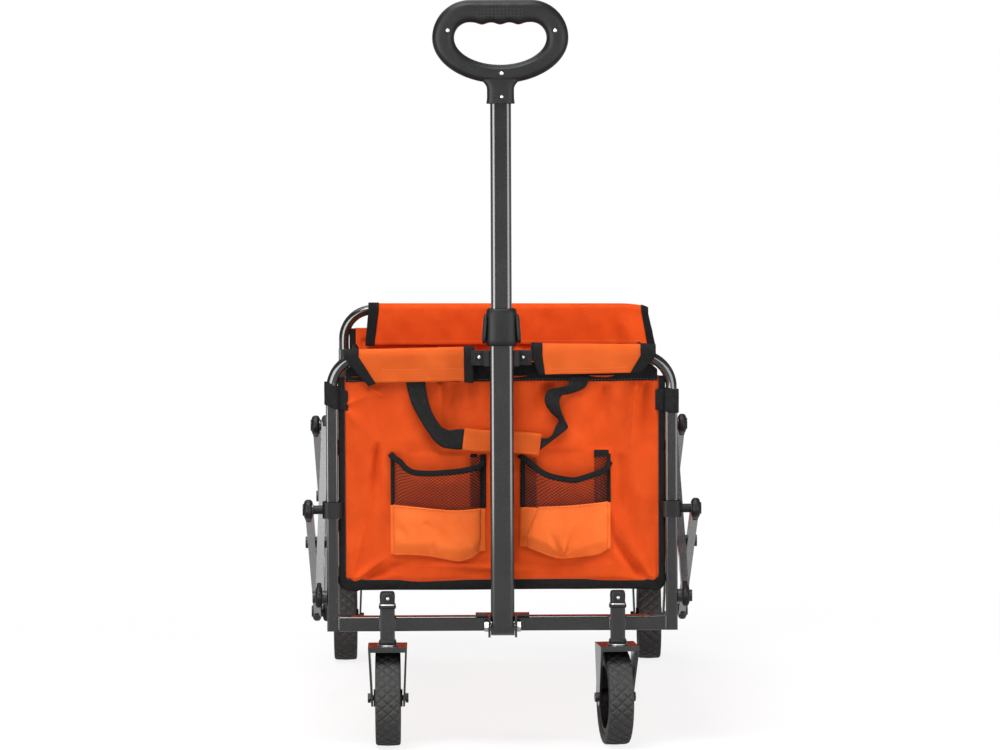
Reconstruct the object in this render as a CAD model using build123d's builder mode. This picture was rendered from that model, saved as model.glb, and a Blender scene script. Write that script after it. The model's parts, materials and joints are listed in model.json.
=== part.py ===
# Folding garden wagon: two tube end frames, scissor sides, a cloth tub,
# two swivel casters in front, two fixed wheels behind and a telescoping pull handle.
# Millimetres. +Z is up, the front with the handle faces -Y, the floor is at Z = 0.
import math
import os

from build123d import *

os.makedirs("parts", exist_ok=True)

# Running clearances
PIN_CLEAR = 0.05
SLIP = 0.3
OPEN_PIVOT_CLEAR = 0.4

# End frames
LENGTH = 880.0
POST_SPAN = 460.0
POST_W = 16.0
POST_CORNER = 2.5
POST_PLUG_T = 3.0
TUBE_D = 15.0
TUBE_WALL = 1.5
TOP_BAR_Z = 532.0
TOP_BEND_R = 44.0
CROSS_W = 20.0
CROSS_CORNER = 2.5
CROSS_Z = 168.0

# Wheels
WHEEL_R = 65.0
WHEEL_W = 34.0
TREAD_W = 22.0
SHOULDER_DROP = 4.0
TYRE_DEPTH = 16.0
TYRE_SEAT_W = 30.0
RIM_DEPTH = 6.0
HUB_R = 12.0
HUB_W = 39.0
WEB_T = 8.0
WEB_HOLE_R = 8.0
WEB_HOLE_COUNT = 6
AXLE_D = 8.0
AXLE_HEAD_R = 7.0
AXLE_HEAD_T = 4.0

# Forks and caster stems
FORK_W = 53.0
FORK_FOOT_W = 46.0
FORK_DEPTH = 42.0
FORK_SHEET = 3.0
CROWN_T = 7.0
FORK_TOP_Z = 140.0
FORK_EYE_R = 12.0
TRAIL = 25.0
CASTER_SPAN = 312.0
RIGHT_CASTER_YAW = 7.0
STEM_W = 20.0
STEM_CORNER = 2.5
STEM_WALL = 3.0
STEM_TOP_Z = 191.0
WASHER_R = 13.0
WASHER_T = 2.0
KINGPIN_TOP_GAP = 8.0
STEM_CAP_T = 23.0
STEM_CAP_LIP = 1.5
STEM_PLUG = 5.0

# Scissor sides
PIVOT_Z = 204.0
MID_TOP_Z = 398.0
CROSSING = 148.0
BAR_W = 20.0
BAR_T = 10.0
BAR_WALL = 1.2
SLEEVE_WALL = 2.5
BAR_GAP = 2.5
BOSS_R = 9.0
BOSS_PROUD = 6.0
PIN_R = 4.0
PIN_HEAD_R = 8.0
PIN_HEAD_T = 3.5
SLIDER_GAP = 2.4
SLIDER_WALL = 3.0
SLIDER_H = 22.0
SLIDER_MOUTH = 8.0
SLIDER_ROD_R = 6.0

# Pull handle
POLE_W = 32.0
POLE_D = 24.0
POLE_CORNER = 5.5
POLE_WALL = 1.5
POLE_STANDOFF = 4.0
HANDLE_PIVOT_Z = 166.0
COLLAR_RISE = 16.0
COLLAR_H = 50.0
COLLAR_W = 52.0
COLLAR_D = 36.0
COLLAR_CORNER = 10.0
COLLAR_SHELF = 24.0
INNER_W = 28.0
INNER_D = 18.0
INNER_CORNER = 6.0
INNER_OVERLAP = 93.0
GRIP_W = 183.0
GRIP_WAIST = 51.0
GRIP_BELLY = 61.0
GRIP_D = 30.0
GRIP_EDGE = 3.0
GRIP_TOP_Z = 1013.0
GRIP_BAR_H = 30.0
GRIP_ARM_W = 29.5
GRIP_HOLE_BELLY = 36.0
SCALLOP_R = 9.0
SCALLOP_PITCH = 24.5
SCALLOP_BUMP = 3.0
NECK_W = 36.0
NECK_DROP = 139.0
NECK_SOCKET = 40.0
EAR_T = 3.0
EAR_GAP = 0.5
EAR_REACH = 14.0
EAR_FOOT = 14.0
FLANGE_W = 73.0
FLANGE_D = 22.0
BOLT_R = 4.0
BOLT_HEAD_R = 7.5
BOLT_HEAD_T = 5.0
CLIP_H = 12.0
CLIP_EAR_T = 7.0
CLIP_BASE_W = 82.0
CLIP_EAR_REACH = 18.0

# Cloth tub
CLOTH_T = 2.0
PANEL_T = 3.0
PANEL_POST_GAP = 9.0
PANEL_FOOT_Z = 212.0
PANEL_TOP_DROP = 26.0
FLAP_T = 2.0
FLAP_LEFT = (-209.0, -41.0)
FLAP_RIGHT = (50.0, 203.0)
FLAP_REAR = (-205.0, 205.0)
FLAP_DROP = 42.0
FLAP_SLANT = 30.0
SIDE_END_DROP = 32.0
SIDE_SAG = 22.0
TAB_DROP = 59.0
TAB_H = 36.0
TAB_T = 1.5
TAB_TAIL_T = 2.4
POCKET_DEPTH = 13.0
POCKET_WALL = 2.0
POCKET_LEFT = (-152.0, -21.0)
POCKET_RIGHT = (23.0, 148.0)
POCKET_FOOT_Z = 252.0
POCKET_TOP_Z = 394.0
POCKET_SAG = 24.0
STRAP_W = 26.0
STRAP_T = 2.0
STRAP_GRIP_W = 104.0
STRAP_GRIP_H = 30.0
STRAP_GRIP_T = 11.0
STRAP_DROP = 93.0
STRAP_LEFT = ((-124.0, 6.0), (-112.0, 60.0), (-84.0, 90.0))
STRAP_RIGHT = ((112.0, 6.0), (68.0, 28.0), (72.0, 62.0))
BOARD_T = 5.0
BOARD_W = 410.0
BOARD_SHORT = 70.0
BOARD_REAR_GAP = 10.0

# Places that follow from the sizes above
TUBE_R = TUBE_D / 2
POST_X = POST_SPAN / 2
POST_IN_X = POST_X - POST_W / 2
POST_OUT_X = POST_X + POST_W / 2
CASTER_X = CASTER_SPAN / 2
YAW = math.radians(RIGHT_CASTER_YAW)
STEM_DY = (CROSS_W + STEM_W) / 2
FRONT_OVERHANG = STEM_DY + (WHEEL_R - TRAIL) * math.cos(YAW) + TREAD_W / 2 * math.sin(YAW)
REAR_OVERHANG = WHEEL_R
FRONT_Y = (FRONT_OVERHANG - REAR_OVERHANG - LENGTH) / 2
REAR_Y = FRONT_Y + LENGTH
MID_Y = (FRONT_Y + REAR_Y) / 2
STEM_Y = FRONT_Y - STEM_DY
STEM_FOOT_Z = FORK_TOP_Z + WASHER_T
STEM_BORE_R = STEM_W / 2 - STEM_WALL
POLE_Y = FRONT_Y - CROSS_W / 2 - POLE_STANDOFF - POLE_D / 2
HALF_SPAN = LENGTH / 2
BAR_RISE = MID_TOP_Z - PIVOT_Z
BAR_L = math.hypot(HALF_SPAN, BAR_RISE)
CROSSING_DY = CROSSING * HALF_SPAN / BAR_L
CROSSING_Z = PIVOT_Z + CROSSING * BAR_RISE / BAR_L
SLIDER_Z = 2 * CROSSING_Z - PIVOT_Z
MID_BOTTOM_Z = SLIDER_Z - BAR_RISE
NEAR_X = POST_OUT_X + BOSS_PROUD
NEAR_OUT = NEAR_X + BAR_T
FAR_X = NEAR_OUT + BAR_GAP
FAR_OUT = FAR_X + BAR_T
COLLAR_Z = TOP_BAR_Z + COLLAR_RISE
INNER_FOOT_Z = COLLAR_Z - INNER_OVERLAP
NECK_Z = GRIP_TOP_Z - NECK_DROP
PANEL_W = 2 * (POST_IN_X - PANEL_POST_GAP)
PANEL_TOP_Z = TOP_BAR_Z - PANEL_TOP_DROP
FLAP_FOOT_Z = TOP_BAR_Z - FLAP_DROP
SIDE_END_Z = TOP_BAR_Z - SIDE_END_DROP
TAB_Z = TOP_BAR_Z - TAB_DROP
STRAP_Z = PANEL_TOP_Z - STRAP_DROP
POST_JOINT_Z = TAB_Z
BOARD_L = (LENGTH - BOARD_SHORT) / 2
FLOOR_Z = PANEL_FOOT_Z + CLOTH_T + SLIP
FLAP_R = TUBE_R + SLIP
PANEL_FRONT_Y = FRONT_Y - PANEL_T / 2


def save(part, name):
    """Label a finished piece and write it under its node's name."""
    part.label = name
    export_step(part, f"parts/{name}.step")


def front_plane(x, y, yaw=0.0):
    """Upright plane facing the front: across is its x, up is its y."""
    turn = math.radians(yaw)
    across = (math.cos(turn), math.sin(turn), 0)
    outward = (math.sin(turn), -math.cos(turn), 0)
    return Plane(origin=(x, y, 0), x_dir=across, z_dir=outward)


def side_plane(x, y, yaw=0.0):
    """Upright plane facing +X: backward is its x, up is its y."""
    turn = math.radians(yaw)
    backward = (-math.sin(turn), math.cos(turn), 0)
    outward = (math.cos(turn), math.sin(turn), 0)
    return Plane(origin=(x, y, 0), x_dir=backward, z_dir=outward)


# End frames
def square_tube(width, corner):
    """Section of a thin square tube with rounded corners."""
    RectangleRounded(width, width, corner)
    inside = width - 2 * TUBE_WALL
    RectangleRounded(inside, inside, corner - TUBE_WALL, mode=Mode.SUBTRACT)


def end_frame(y, foot_z, name):
    """Two square posts and the bent round bow that is welded into their tops."""
    posts = [(-POST_X, y), (POST_X, y)]
    with BuildPart() as frame:
        with BuildLine():
            FilletPolyline(
                (-POST_X, y, POST_JOINT_Z),
                (-POST_X, y, TOP_BAR_Z),
                (POST_X, y, TOP_BAR_Z),
                (POST_X, y, POST_JOINT_Z),
                radius=TOP_BEND_R,
            )
        with BuildSketch(Plane(origin=(-POST_X, y, POST_JOINT_Z))):
            Circle(TUBE_R)
            Circle(TUBE_R - TUBE_WALL, mode=Mode.SUBTRACT)
        sweep()
        with BuildSketch(Plane.XY.offset(foot_z)):
            with Locations(*posts):
                square_tube(POST_W, POST_CORNER)
        extrude(amount=POST_JOINT_Z - POST_PLUG_T - foot_z)
        with BuildSketch(Plane.XY.offset(POST_JOINT_Z - POST_PLUG_T)):
            with Locations(*posts):
                RectangleRounded(POST_W, POST_W, POST_CORNER)
                Circle(TUBE_R - TUBE_WALL, mode=Mode.SUBTRACT)
        extrude(amount=POST_PLUG_T)
    save(frame.part, name)


def cross_tube(y, name):
    """Square lower tube between the posts."""
    with BuildPart() as tube:
        with BuildSketch(side_plane(-POST_IN_X, y)):
            with Locations((0, CROSS_Z)):
                square_tube(CROSS_W, CROSS_CORNER)
        extrude(amount=2 * POST_IN_X)
    save(tube.part, name)


end_frame(FRONT_Y, CROSS_Z - CROSS_W / 2, "front_frame_tube")
end_frame(REAR_Y, FORK_TOP_Z, "rear_frame_tube")
cross_tube(FRONT_Y, "front_cross_tube")
cross_tube(REAR_Y, "rear_cross_tube")


# Wheels, forks and caster stems
def wheel(x, y, yaw, name):
    """Tyre and spoked hub on one axle line."""
    plane = front_plane(x, y, yaw)
    axle_line = Axis((x, y, WHEEL_R), plane.x_dir)
    seat_r = WHEEL_R - TYRE_DEPTH
    with BuildPart() as tyre:
        with BuildSketch(plane):
            Polygon(
                (-TYRE_SEAT_W / 2, WHEEL_R + seat_r),
                (TYRE_SEAT_W / 2, WHEEL_R + seat_r),
                (WHEEL_W / 2, 2 * WHEEL_R - TYRE_DEPTH / 2),
                (WHEEL_W / 2, 2 * WHEEL_R - SHOULDER_DROP),
                (TREAD_W / 2, 2 * WHEEL_R),
                (-TREAD_W / 2, 2 * WHEEL_R),
                (-WHEEL_W / 2, 2 * WHEEL_R - SHOULDER_DROP),
                (-WHEEL_W / 2, 2 * WHEEL_R - TYRE_DEPTH / 2),
                align=None,
            )
        revolve(axis=axle_line)
    save(tyre.part, f"{name}_tyre")

    bore_r = AXLE_D / 2 + PIN_CLEAR
    rim_r = seat_r - RIM_DEPTH
    with BuildPart() as hub:
        with BuildSketch(plane):
            Polygon(
                (-HUB_W / 2, WHEEL_R + bore_r),
                (HUB_W / 2, WHEEL_R + bore_r),
                (HUB_W / 2, WHEEL_R + HUB_R),
                (WEB_T / 2, WHEEL_R + HUB_R),
                (WEB_T / 2, WHEEL_R + rim_r),
                (TYRE_SEAT_W / 2, WHEEL_R + rim_r),
                (TYRE_SEAT_W / 2, WHEEL_R + seat_r),
                (-TYRE_SEAT_W / 2, WHEEL_R + seat_r),
                (-TYRE_SEAT_W / 2, WHEEL_R + rim_r),
                (-WEB_T / 2, WHEEL_R + rim_r),
                (-WEB_T / 2, WHEEL_R + HUB_R),
                (-HUB_W / 2, WHEEL_R + HUB_R),
                align=None,
            )
        revolve(axis=axle_line)
        with BuildSketch(side_plane(x, y, yaw)):
            with Locations((0, WHEEL_R)):
                with PolarLocations((HUB_R + rim_r) / 2, WEB_HOLE_COUNT):
                    Circle(WEB_HOLE_R)
        extrude(amount=WEB_T, both=True, mode=Mode.SUBTRACT)
    save(hub.part, f"{name}_hub")


def fork(x, y, yaw, trail, kingpin, name):
    """Bent sheet fork: crown plate, leaning arms and, on a caster, its kingpin."""
    top_half = FORK_W / 2
    foot_half = FORK_FOOT_W / 2
    foot_z = WHEEL_R - FORK_EYE_R
    crown_z = FORK_TOP_Z - CROWN_T
    with BuildPart() as body:
        with BuildSketch(front_plane(x, y, yaw)):
            Polygon(
                (-top_half, FORK_TOP_Z),
                (top_half, FORK_TOP_Z),
                (foot_half, foot_z),
                (foot_half - FORK_SHEET, foot_z),
                (top_half - FORK_SHEET, crown_z),
                (FORK_SHEET - top_half, crown_z),
                (FORK_SHEET - foot_half, foot_z),
                (-foot_half, foot_z),
                align=None,
            )
        extrude(amount=trail + FORK_DEPTH, both=True)
        with BuildSketch(side_plane(x, y, yaw)):
            Polygon(
                (-FORK_DEPTH / 2, FORK_TOP_Z),
                (-FORK_DEPTH / 2, crown_z),
                (trail - FORK_EYE_R, WHEEL_R),
                (trail + FORK_EYE_R, WHEEL_R),
                (trail / 2 + FORK_DEPTH / 2, crown_z),
                (trail / 2 + FORK_DEPTH / 2, FORK_TOP_Z),
                align=None,
            )
            with Locations((trail, WHEEL_R)):
                Circle(FORK_EYE_R)
        extrude(amount=FORK_W, both=True, mode=Mode.INTERSECT)
        with BuildSketch(side_plane(x, y, yaw)):
            with Locations((trail, WHEEL_R)):
                Circle(AXLE_D / 2)
        extrude(amount=FORK_W, both=True, mode=Mode.SUBTRACT)
        if kingpin:
            with BuildSketch(Plane.XY.offset(crown_z)):
                with Locations((x, y)):
                    Circle(STEM_BORE_R - PIN_CLEAR)
            extrude(amount=STEM_TOP_Z - KINGPIN_TOP_GAP - crown_z)
            with BuildSketch(Plane.XY.offset(FORK_TOP_Z)):
                with Locations((x, y)):
                    Circle(WASHER_R)
            extrude(amount=WASHER_T - SLIP)
    save(body.part, name)


def axle_bolt(plane):
    """Bolt through a fork's arms with a head at one end and a nut at the other."""
    eye_slope = (FORK_W - FORK_FOOT_W) / 2 / (FORK_TOP_Z - WHEEL_R + FORK_EYE_R)
    head_x = FORK_FOOT_W / 2 + (FORK_EYE_R + AXLE_HEAD_R) * eye_slope
    with BuildPart() as bolt:
        with BuildSketch(plane):
            with Locations((0, WHEEL_R)):
                Circle(AXLE_D / 2)
        extrude(amount=head_x, both=True)
        for sign in (-1, 1):
            with BuildSketch(plane.offset(sign * head_x)):
                with Locations((0, WHEEL_R)):
                    RegularPolygon(AXLE_HEAD_R, 6)
            extrude(amount=sign * AXLE_HEAD_T)
    return bolt.part


for side, x, yaw in (("left", -CASTER_X, 0.0), ("right", CASTER_X, RIGHT_CASTER_YAW)):
    axle_x = x - TRAIL * math.sin(math.radians(yaw))
    axle_y = STEM_Y + TRAIL * math.cos(math.radians(yaw))
    wheel(axle_x, axle_y, yaw, f"front_{side}")
    fork(x, STEM_Y, yaw, TRAIL, True, f"caster_fork_{side}")
    save(axle_bolt(side_plane(axle_x, axle_y, yaw)), f"caster_axle_{side}")

for side, x in (("left", -POST_X), ("right", POST_X)):
    wheel(x, REAR_Y, 0.0, f"rear_{side}")
    fork(x, REAR_Y, 0.0, 0.0, False, f"rear_fork_{side}")

save(Compound([axle_bolt(side_plane(x, REAR_Y)) for x in (-POST_X, POST_X)]), "rear_axle_bolts")

with BuildPart() as caster_stems:
    with BuildSketch(Plane.XY.offset(STEM_FOOT_Z)):
        with Locations((-CASTER_X, STEM_Y), (CASTER_X, STEM_Y)):
            RectangleRounded(STEM_W, STEM_W, STEM_CORNER)
            Circle(STEM_BORE_R, mode=Mode.SUBTRACT)
    extrude(amount=STEM_TOP_Z - STEM_FOOT_Z)
save(caster_stems.part, "caster_stems")

cap_w = STEM_W + 2 * STEM_CAP_LIP
with BuildPart() as stem_caps:
    with BuildSketch(Plane.XY.offset(STEM_TOP_Z)):
        with Locations((-CASTER_X, STEM_Y), (CASTER_X, STEM_Y)):
            RectangleRounded(cap_w, cap_w, STEM_CORNER + STEM_CAP_LIP)
    extrude(amount=STEM_CAP_T)
    with BuildSketch(Plane.XY.offset(STEM_TOP_Z)):
        with Locations((-CASTER_X, STEM_Y), (CASTER_X, STEM_Y)):
            Circle(STEM_BORE_R)
    extrude(amount=-STEM_PLUG)
save(stem_caps.part, "stem_caps")


# Scissor sides: a lift bar rises from each lower pivot, a cross bar falls from each post slider.
# The bars lie in two layers that swap at the middle, where each pair shares one pin.
def flat_bar(x, start, end, holes, name):
    """Flat-sided tube with round ends between two points, bored for its pins."""
    (y0, z0), (y1, z1) = start, end
    middle = ((y0 + y1) / 2, (z0 + z1) / 2)
    length = math.hypot(y1 - y0, z1 - z0)
    slope = math.degrees(math.atan2(z1 - z0, y1 - y0))
    with BuildPart() as bar:
        with BuildSketch(Plane.YZ.offset(x)):
            with Locations(Location(middle, slope)):
                SlotCenterToCenter(length, BAR_W)
        extrude(amount=BAR_T)
        with BuildSketch(Plane.YZ.offset(x + BAR_WALL)):
            with Locations(Location(middle, slope)):
                SlotCenterToCenter(length, BAR_W - 2 * BAR_WALL)
        extrude(amount=BAR_T - 2 * BAR_WALL, mode=Mode.SUBTRACT)
        for place, _ in holes:
            with BuildSketch(Plane.YZ.offset(x)):
                with Locations(place):
                    Circle(PIN_R + SLEEVE_WALL)
            extrude(amount=BAR_T)
        for place, radius in holes:
            with BuildSketch(Plane.YZ.offset(x)):
                with Locations(place):
                    Circle(radius)
            extrude(amount=BAR_T, mode=Mode.SUBTRACT)
    save(bar.part, name)


def pins(x_from, x_to, radius, places):
    """Straight pins across both sides of the wagon, between two distances from its middle."""
    with BuildPart() as rods:
        for sign in (-1, 1):
            with BuildSketch(Plane.YZ.offset(sign * x_from)):
                with Locations(*places):
                    Circle(radius)
            extrude(amount=sign * (x_to - x_from))
    return rods.part


def bar_pins(held_x, free_x, place):
    """Headed pins through two bars: tight in the held bar, with running room beside the free one."""
    near_room = SLIP if free_x < held_x else 0.0
    far_room = SLIP - near_room
    near_face = NEAR_X - near_room
    far_face = FAR_OUT + far_room
    with BuildPart() as rods:
        add(pins(near_face - PIN_HEAD_T, near_face, PIN_HEAD_R, [place]))
        add(pins(near_face, far_face, PIN_R, [place]))
        add(pins(NEAR_OUT + near_room, FAR_X - far_room, PIN_HEAD_R, [place]))
        add(pins(far_face, far_face + PIN_HEAD_T, PIN_HEAD_R, [place]))
    return rods.part


def headed_pins(bar_x, place):
    """Pins through one bar, from its near face to a head beyond its far face."""
    far_face = bar_x + BAR_T + SLIP
    with BuildPart() as rods:
        add(pins(bar_x - SLIP, far_face, PIN_R, [place]))
        add(pins(far_face, far_face + PIN_HEAD_T, PIN_HEAD_R, [place]))
    return rods.part


RUN_R = PIN_R + PIN_CLEAR
OPEN_R = PIN_R + OPEN_PIVOT_CLEAR
MID_TOP = (MID_Y, MID_TOP_Z)
MID_BOTTOM = (MID_Y, MID_BOTTOM_Z)
for end, post_y, inward, lift_x, cross_x, top_r, foot_r in (
    ("rear", REAR_Y, -1, FAR_X, NEAR_X, PIN_R, PIN_R),
    ("front", FRONT_Y, 1, NEAR_X, FAR_X, RUN_R, OPEN_R),
):
    pivot = (post_y, PIVOT_Z)
    crossing = (post_y + inward * CROSSING_DY, CROSSING_Z)
    slide_top = (post_y, SLIDER_Z)
    lift_holes = [(pivot, RUN_R), (MID_TOP, top_r), (crossing, PIN_R)]
    cross_holes = [(slide_top, RUN_R), (MID_BOTTOM, foot_r), (crossing, RUN_R)]
    for side, lift_at, cross_at in (
        ("left", -lift_x - BAR_T, -cross_x - BAR_T),
        ("right", lift_x, cross_x),
    ):
        flat_bar(lift_at, pivot, MID_TOP, lift_holes, f"{end}_lift_bar_{side}")
        flat_bar(cross_at, slide_top, MID_BOTTOM, cross_holes, f"{end}_cross_bar_{side}")

    with BuildPart() as bosses:
        add(pins(POST_OUT_X, lift_x - SLIP, BOSS_R, [pivot]))
        add(headed_pins(lift_x, pivot))
    save(bosses.part, f"{end}_pivot_bosses")

    save(bar_pins(lift_x, cross_x, crossing), f"{end}_scissor_pins")

    bore_w = POST_W + 2 * SLIDER_GAP
    bore_corner = POST_CORNER + SLIDER_GAP
    slider_w = bore_w + 2 * SLIDER_WALL
    mouth_x = POST_X - (bore_w + SLIDER_WALL) / 2
    rod_x = POST_X + (bore_w + SLIDER_WALL) / 2
    with BuildPart() as sliders:
        with BuildSketch(Plane.XY.offset(SLIDER_Z - SLIDER_H / 2)):
            with Locations((-POST_X, post_y), (POST_X, post_y)):
                RectangleRounded(slider_w, slider_w, bore_corner + SLIDER_WALL)
                RectangleRounded(bore_w, bore_w, bore_corner, mode=Mode.SUBTRACT)
            with Locations((-mouth_x, post_y), (mouth_x, post_y)):
                Rectangle(2 * SLIDER_WALL, SLIDER_MOUTH, mode=Mode.SUBTRACT)
        extrude(amount=SLIDER_H)
        add(pins(rod_x, cross_x - SLIP, SLIDER_ROD_R, [slide_top]))
        add(headed_pins(cross_x, slide_top))
    save(sliders.part, f"{end}_sliders")

save(bar_pins(FAR_X, NEAR_X, MID_TOP), "mid_top_pins")
save(bar_pins(NEAR_X, FAR_X, MID_BOTTOM), "mid_bottom_pins")


# Pull handle
def pole_section(width, depth, corner):
    """Rounded rectangle centred on the handle's line."""
    with Locations((0, POLE_Y)):
        RectangleRounded(width, depth, corner)


def pole_wall(width, depth, corner, wall):
    """Section of a thin tube of that outside size."""
    pole_section(width, depth, corner)
    with Locations((0, POLE_Y)):
        RectangleRounded(width - 2 * wall, depth - 2 * wall, corner - wall, mode=Mode.SUBTRACT)


ear_x = POLE_W / 2 + EAR_GAP
with BuildPart() as handle_bracket:
    with BuildSketch(Plane.XY.offset(CROSS_Z + CROSS_W / 2)):
        with Locations((0, FRONT_Y)):
            Rectangle(FLANGE_W, FLANGE_D)
    extrude(amount=EAR_T)
    for sign in (-1, 1):
        with BuildSketch(Plane.YZ.offset(sign * ear_x)):
            Polygon(
                (FRONT_Y + FLANGE_D / 2, CROSS_Z + CROSS_W / 2 + EAR_T),
                (POLE_Y - EAR_REACH, CROSS_Z + CROSS_W / 2 + EAR_T),
                (POLE_Y - EAR_REACH, HANDLE_PIVOT_Z - EAR_FOOT / 2),
                (POLE_Y - EAR_REACH / 2, HANDLE_PIVOT_Z - EAR_FOOT),
                (POLE_Y + EAR_REACH, HANDLE_PIVOT_Z - EAR_FOOT),
                (FRONT_Y, CROSS_Z),
                align=None,
            )
        extrude(amount=sign * EAR_T)
    with BuildSketch(Plane.YZ):
        with Locations((FRONT_Y, CROSS_Z)):
            Rectangle(CROSS_W, CROSS_W)
        with Locations((POLE_Y, HANDLE_PIVOT_Z)):
            Circle(BOLT_R)
    extrude(amount=FLANGE_W, both=True, mode=Mode.SUBTRACT)
save(handle_bracket.part, "handle_bracket")

with BuildPart() as handle_bolt:
    with BuildSketch(Plane.YZ):
        with Locations((POLE_Y, HANDLE_PIVOT_Z)):
            Circle(BOLT_R)
    extrude(amount=ear_x + EAR_T, both=True)
    for sign in (-1, 1):
        with BuildSketch(Plane.YZ.offset(sign * (ear_x + EAR_T))):
            with Locations((POLE_Y, HANDLE_PIVOT_Z)):
                RegularPolygon(BOLT_HEAD_R, 6)
        extrude(amount=sign * BOLT_HEAD_T)
save(handle_bolt.part, "handle_bolt")

with BuildPart() as pole_lower:
    with BuildSketch(Plane.XY.offset(HANDLE_PIVOT_Z)):
        pole_wall(POLE_W, POLE_D, POLE_CORNER, POLE_WALL)
    extrude(amount=COLLAR_Z + COLLAR_SHELF - HANDLE_PIVOT_Z)
    with BuildSketch(Plane.YZ):
        with Locations((POLE_Y, HANDLE_PIVOT_Z)):
            Circle(POLE_D / 2)
    extrude(amount=POLE_W / 2, both=True)
    with BuildSketch(Plane.YZ):
        with Locations((POLE_Y, HANDLE_PIVOT_Z)):
            Circle(BOLT_R + PIN_CLEAR)
    extrude(amount=POLE_W, both=True, mode=Mode.SUBTRACT)
save(pole_lower.part, "pole_lower")

with BuildPart() as pole_collar:
    with BuildSketch(Plane.XY.offset(COLLAR_Z)):
        pole_section(COLLAR_W, COLLAR_D, COLLAR_CORNER)
    extrude(amount=COLLAR_H, taper=2)
    with BuildSketch(Plane.XY.offset(COLLAR_Z)):
        pole_section(POLE_W, POLE_D, POLE_CORNER)
    extrude(amount=COLLAR_SHELF, mode=Mode.SUBTRACT)
    with BuildSketch(Plane.XY.offset(COLLAR_Z)):
        pole_section(INNER_W + 2 * SLIP, INNER_D + 2 * SLIP, INNER_CORNER + SLIP)
    extrude(amount=COLLAR_H, mode=Mode.SUBTRACT)
save(pole_collar.part, "pole_collar")

with BuildPart() as pole_upper:
    with BuildSketch(Plane.XY.offset(INNER_FOOT_Z)):
        pole_wall(INNER_W, INNER_D, INNER_CORNER, POLE_WALL)
    extrude(amount=NECK_Z + NECK_SOCKET - INNER_FOOT_Z)
save(pole_upper.part, "pole_upper")


def handle_loop(top_z, waist_z, width, belly):
    """Flat top, round shoulders down to the waist and half an ellipse below it."""
    shoulder = top_z - waist_z
    flat = width / 2 - shoulder
    with BuildSketch() as loop:
        with BuildLine():
            Line((-flat, top_z), (flat, top_z))
            CenterArc((flat, waist_z), shoulder, 0, 90)
            EllipticalCenterArc((0, waist_z), width / 2, belly, 180, arc_size=180)
            CenterArc((-flat, waist_z), shoulder, 90, 90)
        make_face()
    return loop.sketch


waist_z = GRIP_TOP_Z - GRIP_WAIST
bar_z = GRIP_TOP_Z - GRIP_BAR_H
grip_outside = handle_loop(GRIP_TOP_Z, waist_z, GRIP_W, GRIP_BELLY)
grip_hole = handle_loop(bar_z, waist_z, GRIP_W - 2 * GRIP_ARM_W, GRIP_HOLE_BELLY)
with BuildPart() as grip:
    with BuildSketch(front_plane(0, POLE_Y)):
        add(grip_outside)
        with Locations((0, (NECK_Z + waist_z) / 2)):
            Rectangle(NECK_W, waist_z - NECK_Z)
        add(grip_hole, mode=Mode.SUBTRACT)
        with Locations((0, bar_z + SCALLOP_R - SCALLOP_BUMP)):
            with GridLocations(SCALLOP_PITCH, 0, 3, 1):
                Circle(SCALLOP_R)
    extrude(amount=GRIP_D / 2, both=True)
    chamfer(grip.faces().filter_by(Axis.Y).edges(), GRIP_EDGE)
    with BuildSketch(Plane.XY.offset(NECK_Z)):
        pole_section(INNER_W, INNER_D, INNER_CORNER)
    extrude(amount=NECK_SOCKET, mode=Mode.SUBTRACT)
save(grip.part, "grip")

# Clip on the top bar that holds the upright pole
clip_back = POLE_Y + POLE_D / 2 + SLIP
with BuildPart() as handle_clip:
    with BuildSketch(Plane.XY.offset(TOP_BAR_Z - CLIP_H)):
        with Locations((0, (clip_back + FRONT_Y) / 2)):
            Rectangle(CLIP_BASE_W, FRONT_Y - clip_back)
        for sign in (-1, 1):
            with Locations((sign * (POLE_W / 2 + 2 * SLIP + CLIP_EAR_T / 2), clip_back)):
                Rectangle(CLIP_EAR_T, 2 * CLIP_EAR_REACH)
    extrude(amount=CLIP_H + TUBE_R)
    with BuildSketch(side_plane(0, FRONT_Y)):
        with Locations((0, TOP_BAR_Z)):
            Circle(TUBE_R)
        with Locations((TUBE_D, TOP_BAR_Z)):
            Rectangle(2 * TUBE_D + PANEL_T + 2 * SLIP, 4 * CLIP_H)
    extrude(amount=CLIP_BASE_W, both=True, mode=Mode.SUBTRACT)
save(handle_clip.part, "handle_clip")


# Cloth tub
def end_panel(y, name):
    """Upright end cloth between the posts."""
    with BuildPart() as panel:
        with BuildSketch(front_plane(0, y + PANEL_T / 2)):
            with Locations((0, (PANEL_FOOT_Z + PANEL_TOP_Z) / 2)):
                Rectangle(PANEL_W, PANEL_TOP_Z - PANEL_FOOT_Z)
        extrude(amount=PANEL_T)
    save(panel.part, name)


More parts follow.
